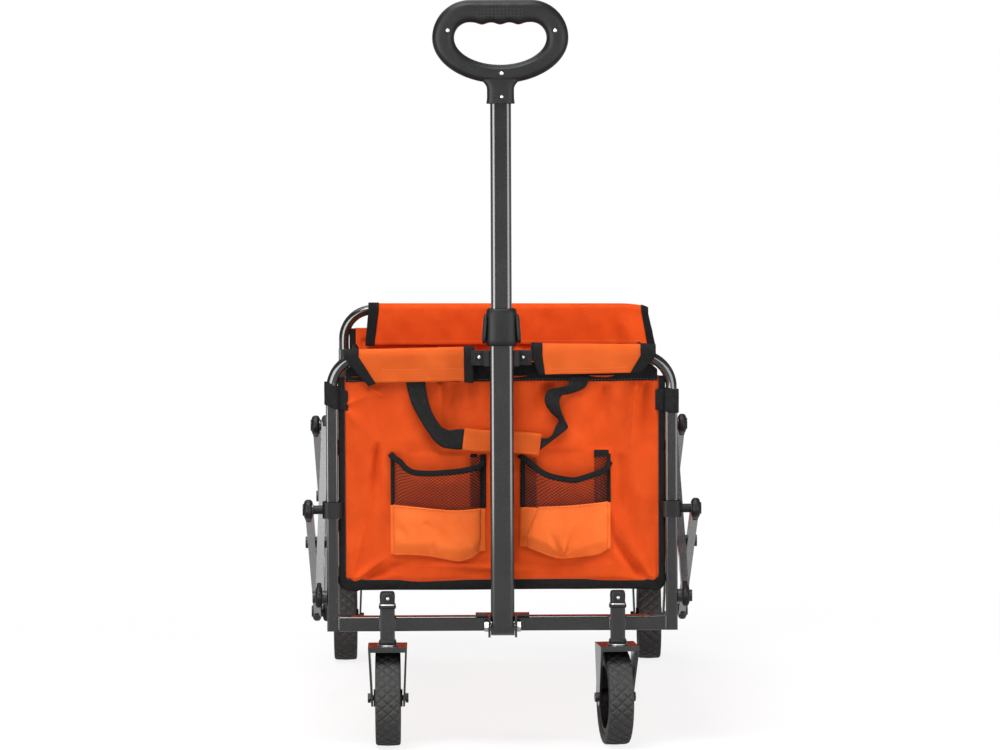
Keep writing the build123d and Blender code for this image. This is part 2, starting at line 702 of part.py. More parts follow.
def flap(y, span, slant_left, slant_right, name):
    """Sleeve of cloth over a top bar, open below, its outer end cut on a slant."""
    low, high = span
    with BuildPart() as sleeve:
        with BuildSketch(side_plane(low, y)):
            with Locations((0, TOP_BAR_Z)):
                Circle(FLAP_R + FLAP_T)
            with Locations((0, (TOP_BAR_Z + FLAP_FOOT_Z) / 2)):
                Rectangle(2 * (FLAP_R + FLAP_T), TOP_BAR_Z - FLAP_FOOT_Z)
            with Locations((0, TOP_BAR_Z)):
                Circle(FLAP_R, mode=Mode.SUBTRACT)
            with Locations((0, (TOP_BAR_Z + FLAP_FOOT_Z) / 2)):
                Rectangle(2 * FLAP_R, TOP_BAR_Z - FLAP_FOOT_Z, mode=Mode.SUBTRACT)
        extrude(amount=high - low)
        with BuildSketch(front_plane(0, y)):
            Polygon(
                (low, TOP_BAR_Z + FLAP_R + FLAP_T),
                (high, TOP_BAR_Z + FLAP_R + FLAP_T),
                (high - slant_right, FLAP_FOOT_Z),
                (low + slant_left, FLAP_FOOT_Z),
                align=None,
            )
        extrude(amount=2 * (FLAP_R + FLAP_T), both=True, mode=Mode.INTERSECT)
    save(sleeve.part, name)


end_panel(FRONT_Y, "front_panel")
end_panel(REAR_Y, "rear_panel")
flap(FRONT_Y, FLAP_LEFT, FLAP_SLANT, 0.0, "front_flap_left")
flap(FRONT_Y, FLAP_RIGHT, 0.0, FLAP_SLANT, "front_flap_right")
flap(REAR_Y, FLAP_REAR, FLAP_SLANT, FLAP_SLANT, "rear_flap")

cloth_front = FRONT_Y + PANEL_T / 2
cloth_rear = REAR_Y - PANEL_T / 2
for side, sign in (("left", -1), ("right", 1)):
    with BuildPart() as side_cloth:
        with BuildSketch(Plane.YZ.offset(sign * (PANEL_W / 2 - CLOTH_T))):
            with BuildLine():
                Line((cloth_front, SIDE_END_Z), (cloth_front, PANEL_FOOT_Z))
                Line((cloth_front, PANEL_FOOT_Z), (cloth_rear, PANEL_FOOT_Z))
                Line((cloth_rear, PANEL_FOOT_Z), (cloth_rear, SIDE_END_Z))
                ThreePointArc(
                    (cloth_rear, SIDE_END_Z),
                    (MID_Y, SIDE_END_Z - SIDE_SAG),
                    (cloth_front, SIDE_END_Z),
                )
            make_face()
        extrude(amount=sign * CLOTH_T)
    save(side_cloth.part, f"side_cloth_{side}")

with BuildPart() as floor_cloth:
    with BuildSketch(Plane.XY.offset(PANEL_FOOT_Z)):
        with Locations((0, (cloth_front + cloth_rear) / 2)):
            Rectangle(PANEL_W - 2 * CLOTH_T, cloth_rear - cloth_front)
    extrude(amount=CLOTH_T)
save(floor_cloth.part, "floor_cloth")

board_rear = cloth_rear - BOARD_REAR_GAP
for end, middle_y in (("rear", board_rear - BOARD_L / 2), ("front", board_rear - 3 * BOARD_L / 2)):
    with BuildPart() as board:
        with BuildSketch(Plane.XY.offset(FLOOR_Z)):
            with Locations((0, middle_y)):
                Rectangle(BOARD_W, BOARD_L - SLIP)
        extrude(amount=BOARD_T)
    save(board.part, f"floor_board_{end}")


def pocket(span, name):
    """Gusseted pocket on the front panel, open at its sagging top edge."""
    low, high = span
    with BuildPart() as pouch:
        with BuildSketch(front_plane(0, PANEL_FRONT_Y)):
            with BuildLine():
                Line((low, POCKET_TOP_Z), (low, POCKET_FOOT_Z))
                Line((low, POCKET_FOOT_Z), (high, POCKET_FOOT_Z))
                Line((high, POCKET_FOOT_Z), (high, POCKET_TOP_Z))
                ThreePointArc(
                    (high, POCKET_TOP_Z),
                    ((low + high) / 2, POCKET_TOP_Z - POCKET_SAG),
                    (low, POCKET_TOP_Z),
                )
            make_face()
        extrude(amount=POCKET_DEPTH)
        with BuildSketch(front_plane(0, PANEL_FRONT_Y)):
            with Locations(((low + high) / 2, (POCKET_FOOT_Z + POCKET_WALL + POCKET_TOP_Z) / 2)):
                Rectangle(high - low - 2 * POCKET_WALL, POCKET_TOP_Z - POCKET_FOOT_Z - POCKET_WALL)
        extrude(amount=POCKET_DEPTH - POCKET_WALL, mode=Mode.SUBTRACT)
    save(pouch.part, name)


pocket(POCKET_LEFT, "pocket_left")
pocket(POCKET_RIGHT, "pocket_right")

# Carry strap: a padded grip with webbing to the panel's top corners
with BuildPart() as strap_grip:
    with BuildSketch(front_plane(0, PANEL_FRONT_Y)):
        with Locations((0, STRAP_Z)):
            RectangleRounded(STRAP_GRIP_W, STRAP_GRIP_H, STRAP_GRIP_T)
    extrude(amount=STRAP_GRIP_T)
save(strap_grip.part, "strap_grip")

for side, route, end_x in (
    ("left", STRAP_LEFT, -STRAP_GRIP_W / 2),
    ("right", STRAP_RIGHT, STRAP_GRIP_W / 2),
):
    points = [(x, PANEL_TOP_Z - drop) for x, drop in route]
    with BuildPart() as strap:
        with BuildSketch(front_plane(0, PANEL_FRONT_Y)):
            with BuildLine():
                Polyline(*points, (end_x, STRAP_Z))
            trace(line_width=STRAP_W)
            with Locations((0, STRAP_Z)):
                Rectangle(STRAP_GRIP_W, 2 * STRAP_GRIP_H, mode=Mode.SUBTRACT)
        extrude(amount=STRAP_T)
    save(strap.part, f"strap_{side}")

tab_in = POST_W + 2 * SLIP
tab_out = tab_in + 2 * TAB_T
tail_from = PANEL_W / 2
tail_to = POST_X - tab_in / 2
with BuildPart() as corner_tabs:
    with BuildSketch(Plane.XY.offset(TAB_Z - TAB_H / 2)):
        with Locations((-POST_X, FRONT_Y), (POST_X, FRONT_Y)):
            RectangleRounded(tab_out, tab_out, POST_CORNER + SLIP + TAB_T)
        for sign in (-1, 1):
            with Locations((sign * (tail_from + tail_to) / 2, FRONT_Y)):
                Rectangle(tail_to - tail_from, TAB_TAIL_T)
        with Locations((-POST_X, FRONT_Y), (POST_X, FRONT_Y)):
            RectangleRounded(tab_in, tab_in, POST_CORNER + SLIP, mode=Mode.SUBTRACT)
    extrude(amount=TAB_H)
save(corner_tabs.part, "corner_tabs")
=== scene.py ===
# %% [markdown]
# A folding garden wagon, dressed for its portrait. The steel, the wheels and the joints come from
# the packed CAD frame and stay where they are. This lesson adds what CAD leaves plain: painted and
# moulded finishes, sewn cloth with its bindings, mesh pockets, webbing, tread and a moulded grip.

import json
import math

import bmesh
import bpy
import numpy as np
from mathutils import Matrix, Vector


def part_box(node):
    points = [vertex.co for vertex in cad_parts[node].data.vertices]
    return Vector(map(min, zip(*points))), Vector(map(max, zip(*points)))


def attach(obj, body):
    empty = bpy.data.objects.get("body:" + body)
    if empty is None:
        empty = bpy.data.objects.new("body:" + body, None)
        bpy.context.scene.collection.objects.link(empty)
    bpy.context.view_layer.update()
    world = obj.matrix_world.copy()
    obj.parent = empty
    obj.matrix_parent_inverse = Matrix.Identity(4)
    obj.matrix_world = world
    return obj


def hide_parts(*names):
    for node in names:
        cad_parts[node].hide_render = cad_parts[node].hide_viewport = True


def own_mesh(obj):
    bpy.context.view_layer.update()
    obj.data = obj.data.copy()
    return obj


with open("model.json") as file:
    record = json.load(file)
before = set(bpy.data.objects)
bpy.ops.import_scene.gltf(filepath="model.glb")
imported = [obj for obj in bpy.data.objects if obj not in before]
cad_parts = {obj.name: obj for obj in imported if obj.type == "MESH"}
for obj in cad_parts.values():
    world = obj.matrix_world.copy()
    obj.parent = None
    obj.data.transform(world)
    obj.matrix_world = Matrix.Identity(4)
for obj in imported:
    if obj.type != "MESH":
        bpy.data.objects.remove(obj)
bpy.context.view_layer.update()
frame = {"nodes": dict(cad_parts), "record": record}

# %% [markdown]
# The photograph was taken from far off with a long lens, a little above the load and almost square
# to the front. A long lens keeps the far frame nearly as large as the near one. Aiming the camera
# down, rather than shifting its film, keeps other views of the wagon well framed.

# %% Place the camera
MM = 0.001
PHOTO_WIDTH = 1000
FOCAL_PIXELS = 5566.0
SENSOR_MM = 36.0
FAR_CLIP = 60.0
CAMERA_PLACE = Vector((-0.067, -7.951, 1.133))
CAMERA_YAW = math.radians(0.496)
CAMERA_PITCH = math.radians(4.775)
CAMERA_ROLL = math.radians(-0.236)

lens = bpy.data.cameras.new("portrait_lens")
lens.sensor_width = SENSOR_MM
lens.lens = FOCAL_PIXELS * SENSOR_MM / PHOTO_WIDTH
lens.clip_end = FAR_CLIP
camera = bpy.data.objects.new("portrait_camera", lens)
bpy.context.scene.collection.objects.link(camera)
turn = Matrix.Rotation(-CAMERA_YAW, 4, "Z") @ Matrix.Rotation(math.pi / 2 - CAMERA_PITCH, 4, "X")
camera.matrix_world = Matrix.Translation(CAMERA_PLACE) @ turn @ Matrix.Rotation(CAMERA_ROLL, 4, "Z")
bpy.context.scene.camera = camera
print("lens", round(lens.lens, 1), "mm")

# %% [markdown]
# A finish is made of sums of noise, ribs and masks. Its Math nodes could be placed and linked one by
# one, but sums read best as sums. The small class below wraps a socket, so that `1 - mask` or
# `weave * 0.5 + noise` adds its Math nodes by itself.


# %% Shader sums
class Wire:
    """A shader value: arithmetic on it adds Math nodes to its material."""

    def __init__(self, finish, socket):
        self.finish = finish
        self.socket = socket

    def math(self, operation, *others):
        """One Math node, with this value first and the others after it."""
        settings = {"operation": operation}
        return self.finish.node("ShaderNodeMath", settings, dict(enumerate((self, *others))))

    def flipped(self, operation, other):
        """One Math node, with a plain number first and this value second."""
        return self.finish.node("ShaderNodeMath", {"operation": operation}, {0: other, 1: self})

    # One Math node for a sum, a difference or a product, also where a plain number comes first
    def __add__(self, other):
        return self.math("ADD", other)

    __radd__ = __add__

    def __sub__(self, other):
        return self.math("SUBTRACT", other)

    def __rsub__(self, other):
        return self.flipped("SUBTRACT", other)

    def __mul__(self, other):
        return self.math("MULTIPLY", other)

    __rmul__ = __mul__

    def sine(self):
        """Sine of the value, taken as radians."""
        return self.math("SINE")

    def size(self):
        """The value without its sign."""
        return self.math("ABSOLUTE")

    def larger(self, other):
        """The larger of two values."""
        return self.math("MAXIMUM", other)

    def step(self, low, high):
        """0 below low, 1 above high, smooth between."""
        settings = {"interpolation_type": "SMOOTHSTEP"}
        return self.finish.node("ShaderNodeMapRange", settings, {0: self, 1: low, 2: high})


print("a value can", [name for name in vars(Wire) if name[0] != "_"])

# %% [markdown]
# A finish is one material: paint, zinc, nylon or cloth. Blender's own calls for nodes are wordy, so
# one method adds any node from its type, its settings and the values or links of its sockets. The
# short methods after it are what several finishes of the wagon share.


# %% One class for every finish
class Finish:
    """One material: its node tree, its shader, and one way to add nodes."""

    def __init__(self, name, **values):
        self.material = bpy.data.materials.new(name)
        self.material.use_nodes = True
        self.tree = self.material.node_tree
        self.shader = self.tree.nodes["Principled BSDF"]
        for socket, value in values.items():
            label = socket.replace("_", " ").title().replace("Ior", "IOR")
            self.shader.inputs[label].default_value = value

    def plug(self, socket, value):
        """Link a shader value to a socket, or set a plain number on it."""
        if isinstance(value, Wire):
            self.tree.links.new(value.socket, socket)
        else:
            socket.default_value = value

    def node(self, kind, settings, values, out=0):
        """Any node: its settings first, then the values or links of its sockets."""
        made = self.tree.nodes.new(kind)
        for key, value in settings.items():
            setattr(made, key, value)
        for key, value in values.items():
            self.plug(made.inputs[key], value)
        return Wire(self, made.outputs[out])

    def place(self):
        """Where a point is on its object, in metres."""
        return self.node("ShaderNodeTexCoord", {}, {}, "Object")

    def uv(self):
        """The piece's own map, laid out in metres, as two values."""
        split = self.node("ShaderNodeSeparateXYZ", {}, {0: self.node("ShaderNodeUVMap", {}, {})})
        return split, Wire(self, split.socket.node.outputs[1])

    def noise(self, scale, detail=2.0):
        """Cloudy noise from 0 to 1, with scale lumps to a metre."""
        values = {"Vector": self.place(), "Scale": scale, "Detail": detail}
        return self.node("ShaderNodeTexNoise", {}, values)

    def tint(self, mask, dark, light):
        """Blend two colours by a mask."""
        settings = {"data_type": "RGBA"}
        return self.node("ShaderNodeMix", settings, {0: mask, 6: (*dark, 1), 7: (*light, 1)}, 2)

    def bump(self, height, depth):
        """Raise the surface by height times depth, in metres."""
        values = {"Strength": 1.0, "Distance": depth, "Height": height}
        self.set("Normal", self.node("ShaderNodeBump", {}, values))

    def set(self, socket, value):
        """Set or link one socket of the shader."""
        self.plug(self.shader.inputs[socket], value)


print("a finish can", [name for name in vars(Finish) if name[0] != "_"])

# %% [markdown]
# The frame is steel tube in a charcoal paint with a fine hammered skin: dark, a little metallic, and
# mottled where the paint drew into small dimples while it dried. Voronoi cells about two
# millimetres wide give the dimples, and noise gives the fine sparkle between them.


# %% Hammered charcoal paint
def hammered_paint(name, dark, light):
    """Dimples, grain and wear, added up, pick the colour; dimples and grain raise the skin."""
    finish = Finish(
        name, metallic=0.2, specular_ior_level=0.1, coat_weight=0.85, coat_ior=1.75, coat_roughness=0.12
    )
    dimples = {"Vector": finish.place(), "Scale": 640.0}
    cells = finish.node("ShaderNodeTexVoronoi", {"feature": "SMOOTH_F1"}, dimples)
    grain = finish.noise(1800.0, 3.0)
    wear = finish.noise(18.0, 4.0)
    mottle = (cells * 0.5 + grain * 0.5 + wear * 0.45).step(0.35, 1.2)
    finish.set("Base Color", finish.tint(mottle, dark, light))
    finish.set("Roughness", wear * 0.12 + 0.2)
    finish.bump(cells * 0.7 + grain * 0.3, 0.0001)
    return finish.material


PAINT = hammered_paint("hammered_charcoal_paint", (0.006, 0.006, 0.0057), (0.024, 0.0235, 0.0225))
# The scissor bars take a lighter grey copy of the paint: painted light, standing for the side light on
# their outer faces.
BAR_SIDE_LIT_PAINT = hammered_paint("bar_side_lit_grey_paint", (0.050, 0.053, 0.057), (0.105, 0.109, 0.113))
print("paints", PAINT.name, BAR_SIDE_LIT_PAINT.name)

# %% [markdown]
# Bolts and rivets are zinc plated steel, bright and slightly cloudy. The caps, clips, collar and
# grip are black nylon with the fine spark-eroded grain of the mould. Thread is grained in the same
# way.


# %% Zinc, moulded nylon and thread
def zinc_plate():
    """A cloud picks the shade of bare metal and, with it, the roughness."""
    finish = Finish("zinc_plate", metallic=1.0)
    cloud = finish.noise(160.0, 3.0)
    finish.set("Base Color", finish.tint(cloud, (0.42, 0.42, 0.43), (0.66, 0.66, 0.65)))
    finish.set("Roughness", cloud * 0.25 + 0.25)
    finish.bump(finish.noise(900.0), 0.00006)
    return finish.material


def grained(name, dark, light, rough, shine=0.25):
    """Seven parts of cloud to three of grain pick the colour, and the grain is raised."""
    finish = Finish(name, specular_ior_level=shine)
    cloud = finish.noise(35.0, 3.0)
    grain = finish.noise(1700.0, 2.0)
    finish.set("Base Color", finish.tint(cloud * 0.7 + grain * 0.3, dark, light))
    finish.set("Roughness", cloud * 0.12 + rough)
    finish.bump(grain, 0.0001)
    return finish.material


ZINC = zinc_plate()
BLACKENED = grained("blackened_steel", (0.006, 0.006, 0.006), (0.014, 0.014, 0.014), 0.3, 0.4)
NYLON = grained("black_nylon", (0.006, 0.006, 0.0062), (0.013, 0.013, 0.0135), 0.36, 0.2)
TREAD = grained("wheel_polymer", (0.022, 0.022, 0.0215), (0.042, 0.041, 0.040), 0.5)
ORANGE_THREAD = grained("orange_thread", (0.72, 0.13, 0.03), (0.88, 0.20, 0.05), 0.6)
GREY_THREAD = grained("grey_thread", (0.06, 0.06, 0.06), (0.12, 0.12, 0.12), 0.6)
print("hard finishes", len(bpy.data.materials))

# %% [markdown]
# The tub is sewn from orange polyester cloth in a plain weave. Two sine waves, one for each thread
# direction, make the weave from the piece's own map, which is laid out in metres. A picture of cloth
# could do it too, but its threads would blur close up. A slow noise paints broad patches lighter and
# darker: partly the cloth's uneven tone, partly painted shade of broad folds. Faint crease lines in
# the colour are painted light and shade of fine creases.

# %% Woven cloth
THREAD = 0.0011


def woven_cloth(name, dark, light):
    """Slow shade, creases and weave pick the colour, the first two as painted light and shade; all three
    and a slow slack are raised.
    """
    finish = Finish(name, roughness=0.66, specular_ior_level=0.05)
    across, along = finish.uv()
    pitch = 2 * math.pi / THREAD
    weave = (across * pitch).sine() * (along * pitch).sine()
    # The slow noise paints broad patches lighter and darker, partly the cloth's uneven tone and partly
    # painted shade of broad folds; the crease noise paints light and shade along fine creases.
    shade = finish.noise(9.0, 3.0)
    crease = finish.noise(34.0, 4.0)
    mask = shade * 0.45 + crease * 0.45 + weave * 0.12 + 0.06
    finish.set("Base Color", finish.tint(mask.step(0.2, 0.95), dark, light))
    slack = finish.noise(13.0, 2.0)
    finish.bump(weave * 0.1 + crease * 1.3 + slack * 3.4, 0.0011)
    return finish.material


ORANGE = woven_cloth("orange_polyester", (0.55, 0.050, 0.0045), (0.80, 0.098, 0.0135))
# The front flaps and the strap wrap take a paler copy of the orange cloth: painted light, standing for
# light from above on their faces.
PALE_TOP_LIT_ORANGE = woven_cloth("pale_top_lit_polyester", (0.54, 0.077, 0.009), (0.72, 0.130, 0.023))
# The pockets take a still lighter copy of the orange cloth: painted light, standing for light from above
# on the pouches.
POCKET_TOP_LIT_CLOTH = woven_cloth("pocket_top_lit_polyester", (0.76, 0.120, 0.018), (0.96, 0.220, 0.050))
print("cloths", ORANGE.name, PALE_TOP_LIT_ORANGE.name, POCKET_TOP_LIT_CLOTH.name)

# %% [markdown]
# Black tape binds the cut edges, and the strap and the tabs are black webbing. Both are woven in ribs
# across the band. A pattern fixed in space would slide off where a band bends, so the ribs are sine
# waves along the band's own map, with slanted ones between them.


# %% Tape and webbing
def ribbed_webbing(name, dark, light, rib):
    """Sine ribs along the band, slanted ones half as steep across it, and fuzz."""
    finish = Finish(name, roughness=0.65, specular_ior_level=0.1)
    across, along = finish.uv()
    ribs = (along * (2 * math.pi / rib)).sine()
    twill = (along * (2 * math.pi / rib) + across * (math.pi / rib)).sine()
    fuzz = finish.noise(260.0, 3.0)
    mask = (ribs * 0.2 + twill * 0.15 + fuzz).step(0.2, 0.9)
    finish.set("Base Color", finish.tint(mask, dark, light))
    finish.bump(ribs * 0.5 + twill * 0.3 + fuzz * 0.4, 0.0004)
    return finish.material


BINDING = ribbed_webbing("black_binding", (0.005, 0.005, 0.0055), (0.014, 0.014, 0.0145), 0.0012)
WEBBING = ribbed_webbing("black_webbing", (0.006, 0.006, 0.0065), (0.018, 0.018, 0.0185), 0.0019)
print("bands", BINDING.name, WEBBING.name)

# %% [markdown]
# The pockets' upper halves are knitted net. Real threads would take many thousands of tiny tubes, and
# from this far they only show as a dark veil with holes. So the net is one sheet with a see-through
# pattern: two families of slanted lines cross, and a noise bends them.


# %% Pocket net
def pocket_net(name, wide, tall):
    """Knitted net: two families of slanted strands cross; the lozenges between are holes with a faint
    painted shade.
    """
    finish = Finish(name, roughness=0.6, specular_ior_level=0.14)
    across, along = finish.uv()
    wobble = finish.noise(40.0, 2.0) * 1.4
    rise = across * (math.pi / wide) + along * (math.pi / tall) + wobble
    fall = across * (math.pi / wide) - along * (math.pi / tall) + wobble
    strand = (1 - rise.sine().size()).larger(1 - fall.sine().size()).step(0.60, 0.76)
    # Where the net is open it keeps a dark red-brown colour and eight parts in a hundred of cover:
    # painted shade over the cloth seen through the holes.
    finish.set("Base Color", finish.tint(strand, (0.020, 0.006, 0.004), (0.008, 0.008, 0.009)))
    finish.set("Alpha", strand * 0.9 + 0.08)
    finish.bump(strand, 0.0004)
    return finish.material


NET = pocket_net("pocket_net", 0.0058, 0.0042)
print("finishes", len(bpy.data.materials))

# %% [markdown]
# Every steel and plastic node that already has its right shape keeps its CAD mesh and only changes
# its finish. The table says which finish each material slot takes, and a word in a node's name may
# say otherwise.

# %% Finish the CAD nodes
SLOT_FINISH = {
    "frame_steel": PAINT,
    "zinc_steel": ZINC,
    "black_plastic": NYLON,
    "wheel_tread": TREAD,
    "orange_cloth": ORANGE,
    "black_webbing": WEBBING,
}
# A bar's lighter paint is painted side light; pins, bosses and axles are blackened steel.
NODE_FINISH = {"bar": BAR_SIDE_LIT_PAINT, "pins": BLACKENED, "bosses": BLACKENED, "axle": BLACKENED}
for part in frame["record"]["subparts"]:
    node = frame["nodes"][part["node"]]
    finish = SLOT_FINISH[part["material_slot"]]
    for word in set(part["node"].split("_")) & set(NODE_FINISH):
        finish = NODE_FINISH[word]
    node.data.materials.clear()
    node.data.materials.append(finish)

# %% [markdown]
# Cloth, tape and moulded plastic are full of soft changes: a bulge that fades, a fold that dies out,
# a corner that rounds off. Sculpting could give them, but not twice alike. Two curves make nearly all
# of them here, an ease from 0 to 1 and a bell, and both work on whole grids of points at once.


# %% Curves for soft changes
def unit(vectors):
    """Vectors divided by their lengths."""
    return vectors / np.maximum(np.linalg.norm(vectors, axis=-1, keepdims=True), 1e-9)


def ease(value):
    """Smooth step: 0 below 0, 1 above 1, three squares less two cubes between."""
    share = np.clip(value, 0.0, 1.0)
    return share * share * (3.0 - 2.0 * share)


def bell(distance, width):
    """Bell curve: e to the minus square of the distance over the width."""
    return np.exp(-((distance / width) ** 2))


def xyz(x, y, z):
    """Points from three arrays, each spread to the shape that they share."""
    return np.stack(np.broadcast_arrays(x, y, z), axis=-1)


def run_length(points, axis):
    """Mean length along one direction of a grid, added up from its start, in metres."""
    steps = np.linalg.norm(np.diff(points, axis=axis), axis=2).mean(axis=1 - axis)
    return np.append(0.0, np.cumsum(steps)) * MM


print("ease and bell at a half", ease(0.5), round(bell(0.5, 1.0), 3))

# %% [markdown]
# New pieces are grids of points worked out with numpy, in millimetres. A skin gathers such grids into
# one mesh, which saves joining objects afterwards. Its map follows the lengths of the grid's own rows
# and columns, so that a weave has the same thread count on every piece of cloth.


# %% Grids of points become pieces
class Skin:
    """Grids of points gathered into one mesh, each with a finish and a map in metres."""

    def __init__(self, name):
        self.name = name
        self.points, self.faces, self.maps, self.worn, self.finishes = [], [], [], [], []
        self.count = 0

    def keep(self, points, faces, corners, finish):
        """Add points, faces and the map of their corners to what the skin holds."""
        if finish not in self.finishes:
            self.finishes.append(finish)
        self.points.append(points)
        self.faces += faces
        self.maps.append(corners)
        self.worn += [self.finishes.index(finish)] * len(faces)
        self.count += len(points)

    def grid(self, points, finish, ring=False, loop=False, caps=False):
        """Quads between neighbours. A ring joins the last column to the first, a loop the rows."""
        rows, columns = points.shape[:2]
        full = np.concatenate([points, points[:, :1]], axis=1) if ring else points
        full = np.concatenate([full, full[:1]], axis=0) if loop else full
        u, v = run_length(full, 1), run_length(full, 0)
        row, column = np.meshgrid(np.arange(len(v) - 1), np.arange(len(u) - 1), indexing="ij")
        row = row.reshape(-1, 1) + np.array([0, 0, 1, 1])
        column = column.reshape(-1, 1) + np.array([0, 1, 1, 0])
        corners = np.stack([u[column], v[row]], axis=-1).reshape(-1, 2)
        first = self.count
        faces = first + (row % rows) * columns + column % columns
        self.keep(points.reshape(-1, 3), faces.tolist(), corners, finish)
        if caps:
            for edge, order in ((0, -1), (rows - 1, 1)):
                rim = first + edge * columns + np.arange(columns)
                hub = np.full(columns, self.count)
                fan = np.stack([rim, np.roll(rim, -1), hub], axis=1)[:, ::order]
                corners = np.stack([u[:columns], np.full(columns, v[edge])], axis=1)
                middle = points[edge].mean(axis=0, keepdims=True)
                self.keep(middle, fan.tolist(), np.repeat(corners, 3, axis=0), finish)
        return self

    def solid(self, points, finish):
        """Rows that are rings, with a fan over the first and the last."""
        return self.grid(points, finish, ring=True, caps=True)

    def scatter(self, shape, faces, places, axes, finish):
        """Copies of a small shape: each point is its place plus its three numbers times three axes."""
        points = places[:, None] + np.einsum("mk,nkd->nmd", shape, axes)
        steps = np.arange(len(places))[:, None, None] * len(shape)
        every = (np.array(faces)[None] + steps + self.count).reshape(-1, 3)
        self.keep(points.reshape(-1, 3), every.tolist(), np.zeros((every.size, 2)), finish)

    def piece(self, body, slot, thick=0.0, closed=True, sharp=None, replaces=()):
        """The finished object: it rides on a body, and may stand for CAD nodes."""
        mesh = bpy.data.meshes.new(self.name)
        mesh.from_pydata((np.concatenate(self.points) * MM).tolist(), [], self.faces)
        layer = mesh.uv_layers.new(name="cut_map")
        layer.data.foreach_set("uv", np.concatenate(self.maps).ravel())
        for finish in self.finishes:
            mesh.materials.append(finish)
        mesh.polygons.foreach_set("material_index", np.array(self.worn, np.int32))
        mesh.polygons.foreach_set("use_smooth", np.ones(len(self.faces), bool))
        mesh.update()
        if closed:
            shell = bmesh.new()
            shell.from_mesh(mesh)
            bmesh.ops.recalc_face_normals(shell, faces=shell.faces)
            shell.to_mesh(mesh)
            shell.free()
        if sharp is not None:
            mesh.set_sharp_from_angle(angle=math.radians(sharp))
        item = bpy.data.objects.new(self.name, mesh)
        bpy.context.scene.collection.objects.link(item)
        if thick:
            wall = item.modifiers.new("cloth_thickness", "SOLIDIFY")
            wall.thickness = thick * MM
            wall.offset = 0.0
        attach(item, body)
        if replaces:
            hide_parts(*replaces)
        return item


print("a skin can", [name for name in vars(Skin) if name[0] != "_"])

# %% [markdown]
# Tape, ribs and weld beads are profiles carried along paths. A curve with a bevel could carry them,
# but a grid keeps its map in metres and lets the width change along the way. A path through a few
# measured points is a Catmull-Rom curve, which passes through each of them.


# %% Profiles carried along paths
def smooth_path(points, count):
    """Catmull-Rom curve: cubics through the points, with slopes of half the step across each."""
    points = np.asarray(points, float)
    ends = np.concatenate([2 * points[:1] - points[1:2], points, 2 * points[-1:] - points[-2:-1]])
    share = np.linspace(0, len(points) - 1, count)
    at = np.minimum(share.astype(int), len(points) - 2)
    t = (share - at)[:, None]
    a, b, c, d = ends[at], ends[at + 1], ends[at + 2], ends[at + 3]
    return b + 0.5 * t * (c - a + t * (2 * a - 5 * b + 4 * c - d + t * (3 * (b - c) + d - a)))


def even_steps(path, step):
    """Points at equal steps of length along a path."""
    path = np.asarray(path, float)
    run = np.append(0.0, np.cumsum(np.linalg.norm(np.diff(path, axis=0), axis=1)))
    marks = np.linspace(0, run[-1], max(int(run[-1] / step), 2))
    return np.stack([np.interp(marks, run, path[:, k]) for k in range(3)], axis=1)


def oval(width, height, count=16, square=2.0):
    """Superellipse: cosine and sine of the angle to the power 2 / square, signs kept."""
    angle = np.arange(count) * 2 * np.pi / count
    bent = np.stack([np.cos(angle), np.sin(angle)], axis=1)
    return np.sign(bent) * np.abs(bent) ** (2 / square) * (width / 2, height / 2)


def path_axes(path, up):
    """Ahead along the path, side square to it and to up, and up made square to both."""
    ahead = unit(np.gradient(np.asarray(path, float), axis=0))
    side = unit(np.cross(np.broadcast_to(up, ahead.shape), ahead))
    return ahead, side, np.cross(ahead, side)


def sweep(path, profile, up, widen=1.0):
    """Each point is the path plus the profile's x times side plus its y times up."""
    ahead, side, up = path_axes(path, up)
    widen = np.broadcast_to(widen, len(path))[:, None, None]
    wide, tall = widen * profile[None, :, :1], profile[None, :, 1:]
    return path[:, None] + wide * side[:, None] + tall * up[:, None]


print("5 mm steps in 40 mm", len(even_steps([(0, 0, 0), (40, 0, 0)], 5.0)))

# %% [markdown]
# Screws, rivets and washers are round about an axis, and moulded blocks such as the collar are rings
# of changing size stacked upward. A Screw modifier could turn them, but one formula for the whole
# grid is as short. Stitches come in hundreds, so each is a small lens of eight faces.

# %% Turned and stacked shapes, and stitches
ODD_WAY = (0.31, 0.17, 0.93)
LENS = np.array([(-1, 0, 0), (1, 0, 0), (0, -1, 0), (0, 1, 0), (0, 0, -1), (0, 0, 1)], float)
LENS_FACES = [(1, 3, 5), (3, 0, 5), (0, 2, 5), (2, 1, 5), (3, 1, 4), (0, 3, 4), (2, 0, 4), (1, 2, 4)]


def turned(profile, place, axis, count=20):
    """Turned shape: radius round the axis and height along it, for each point of the profile."""
    axis = unit(np.asarray(axis, float))
    across = unit(np.cross(axis, ODD_WAY))
    angle = np.arange(count) * 2 * np.pi / count
    spokes = np.cos(angle)[:, None] * across + np.sin(angle)[:, None] * np.cross(axis, across)
    profile = np.asarray(profile, float)
    return np.asarray(place, float) + profile[:, None, :1] * spokes + profile[:, None, 1:] * axis


def stacked(ring, wide, deep, x, y, z):
    """Rings stacked upward: the ring's x times wide and its y times deep, moved to x, y and z."""
    wide, deep, x, y, z = (np.asarray(value, float)[..., None] for value in (wide, deep, x, y, z))
    return xyz(x + ring[:, 0] * wide, y + ring[:, 1] * deep, z)


def stitch_row(skin, path, up, finish, pitch=3.6, length=2.5, width=0.9):
    """Thread dashes at equal steps: each is a small eight-sided lens along the path."""
    marks = even_steps(path, pitch)
    ahead, side, up = path_axes(marks, up)
    axes = np.stack([ahead * length / 2, side * width / 2, up * width / 2], axis=1)
    skin.scatter(LENS, LENS_FACES, marks, axes, finish)


print("faces of a stitch", len(LENS_FACES))

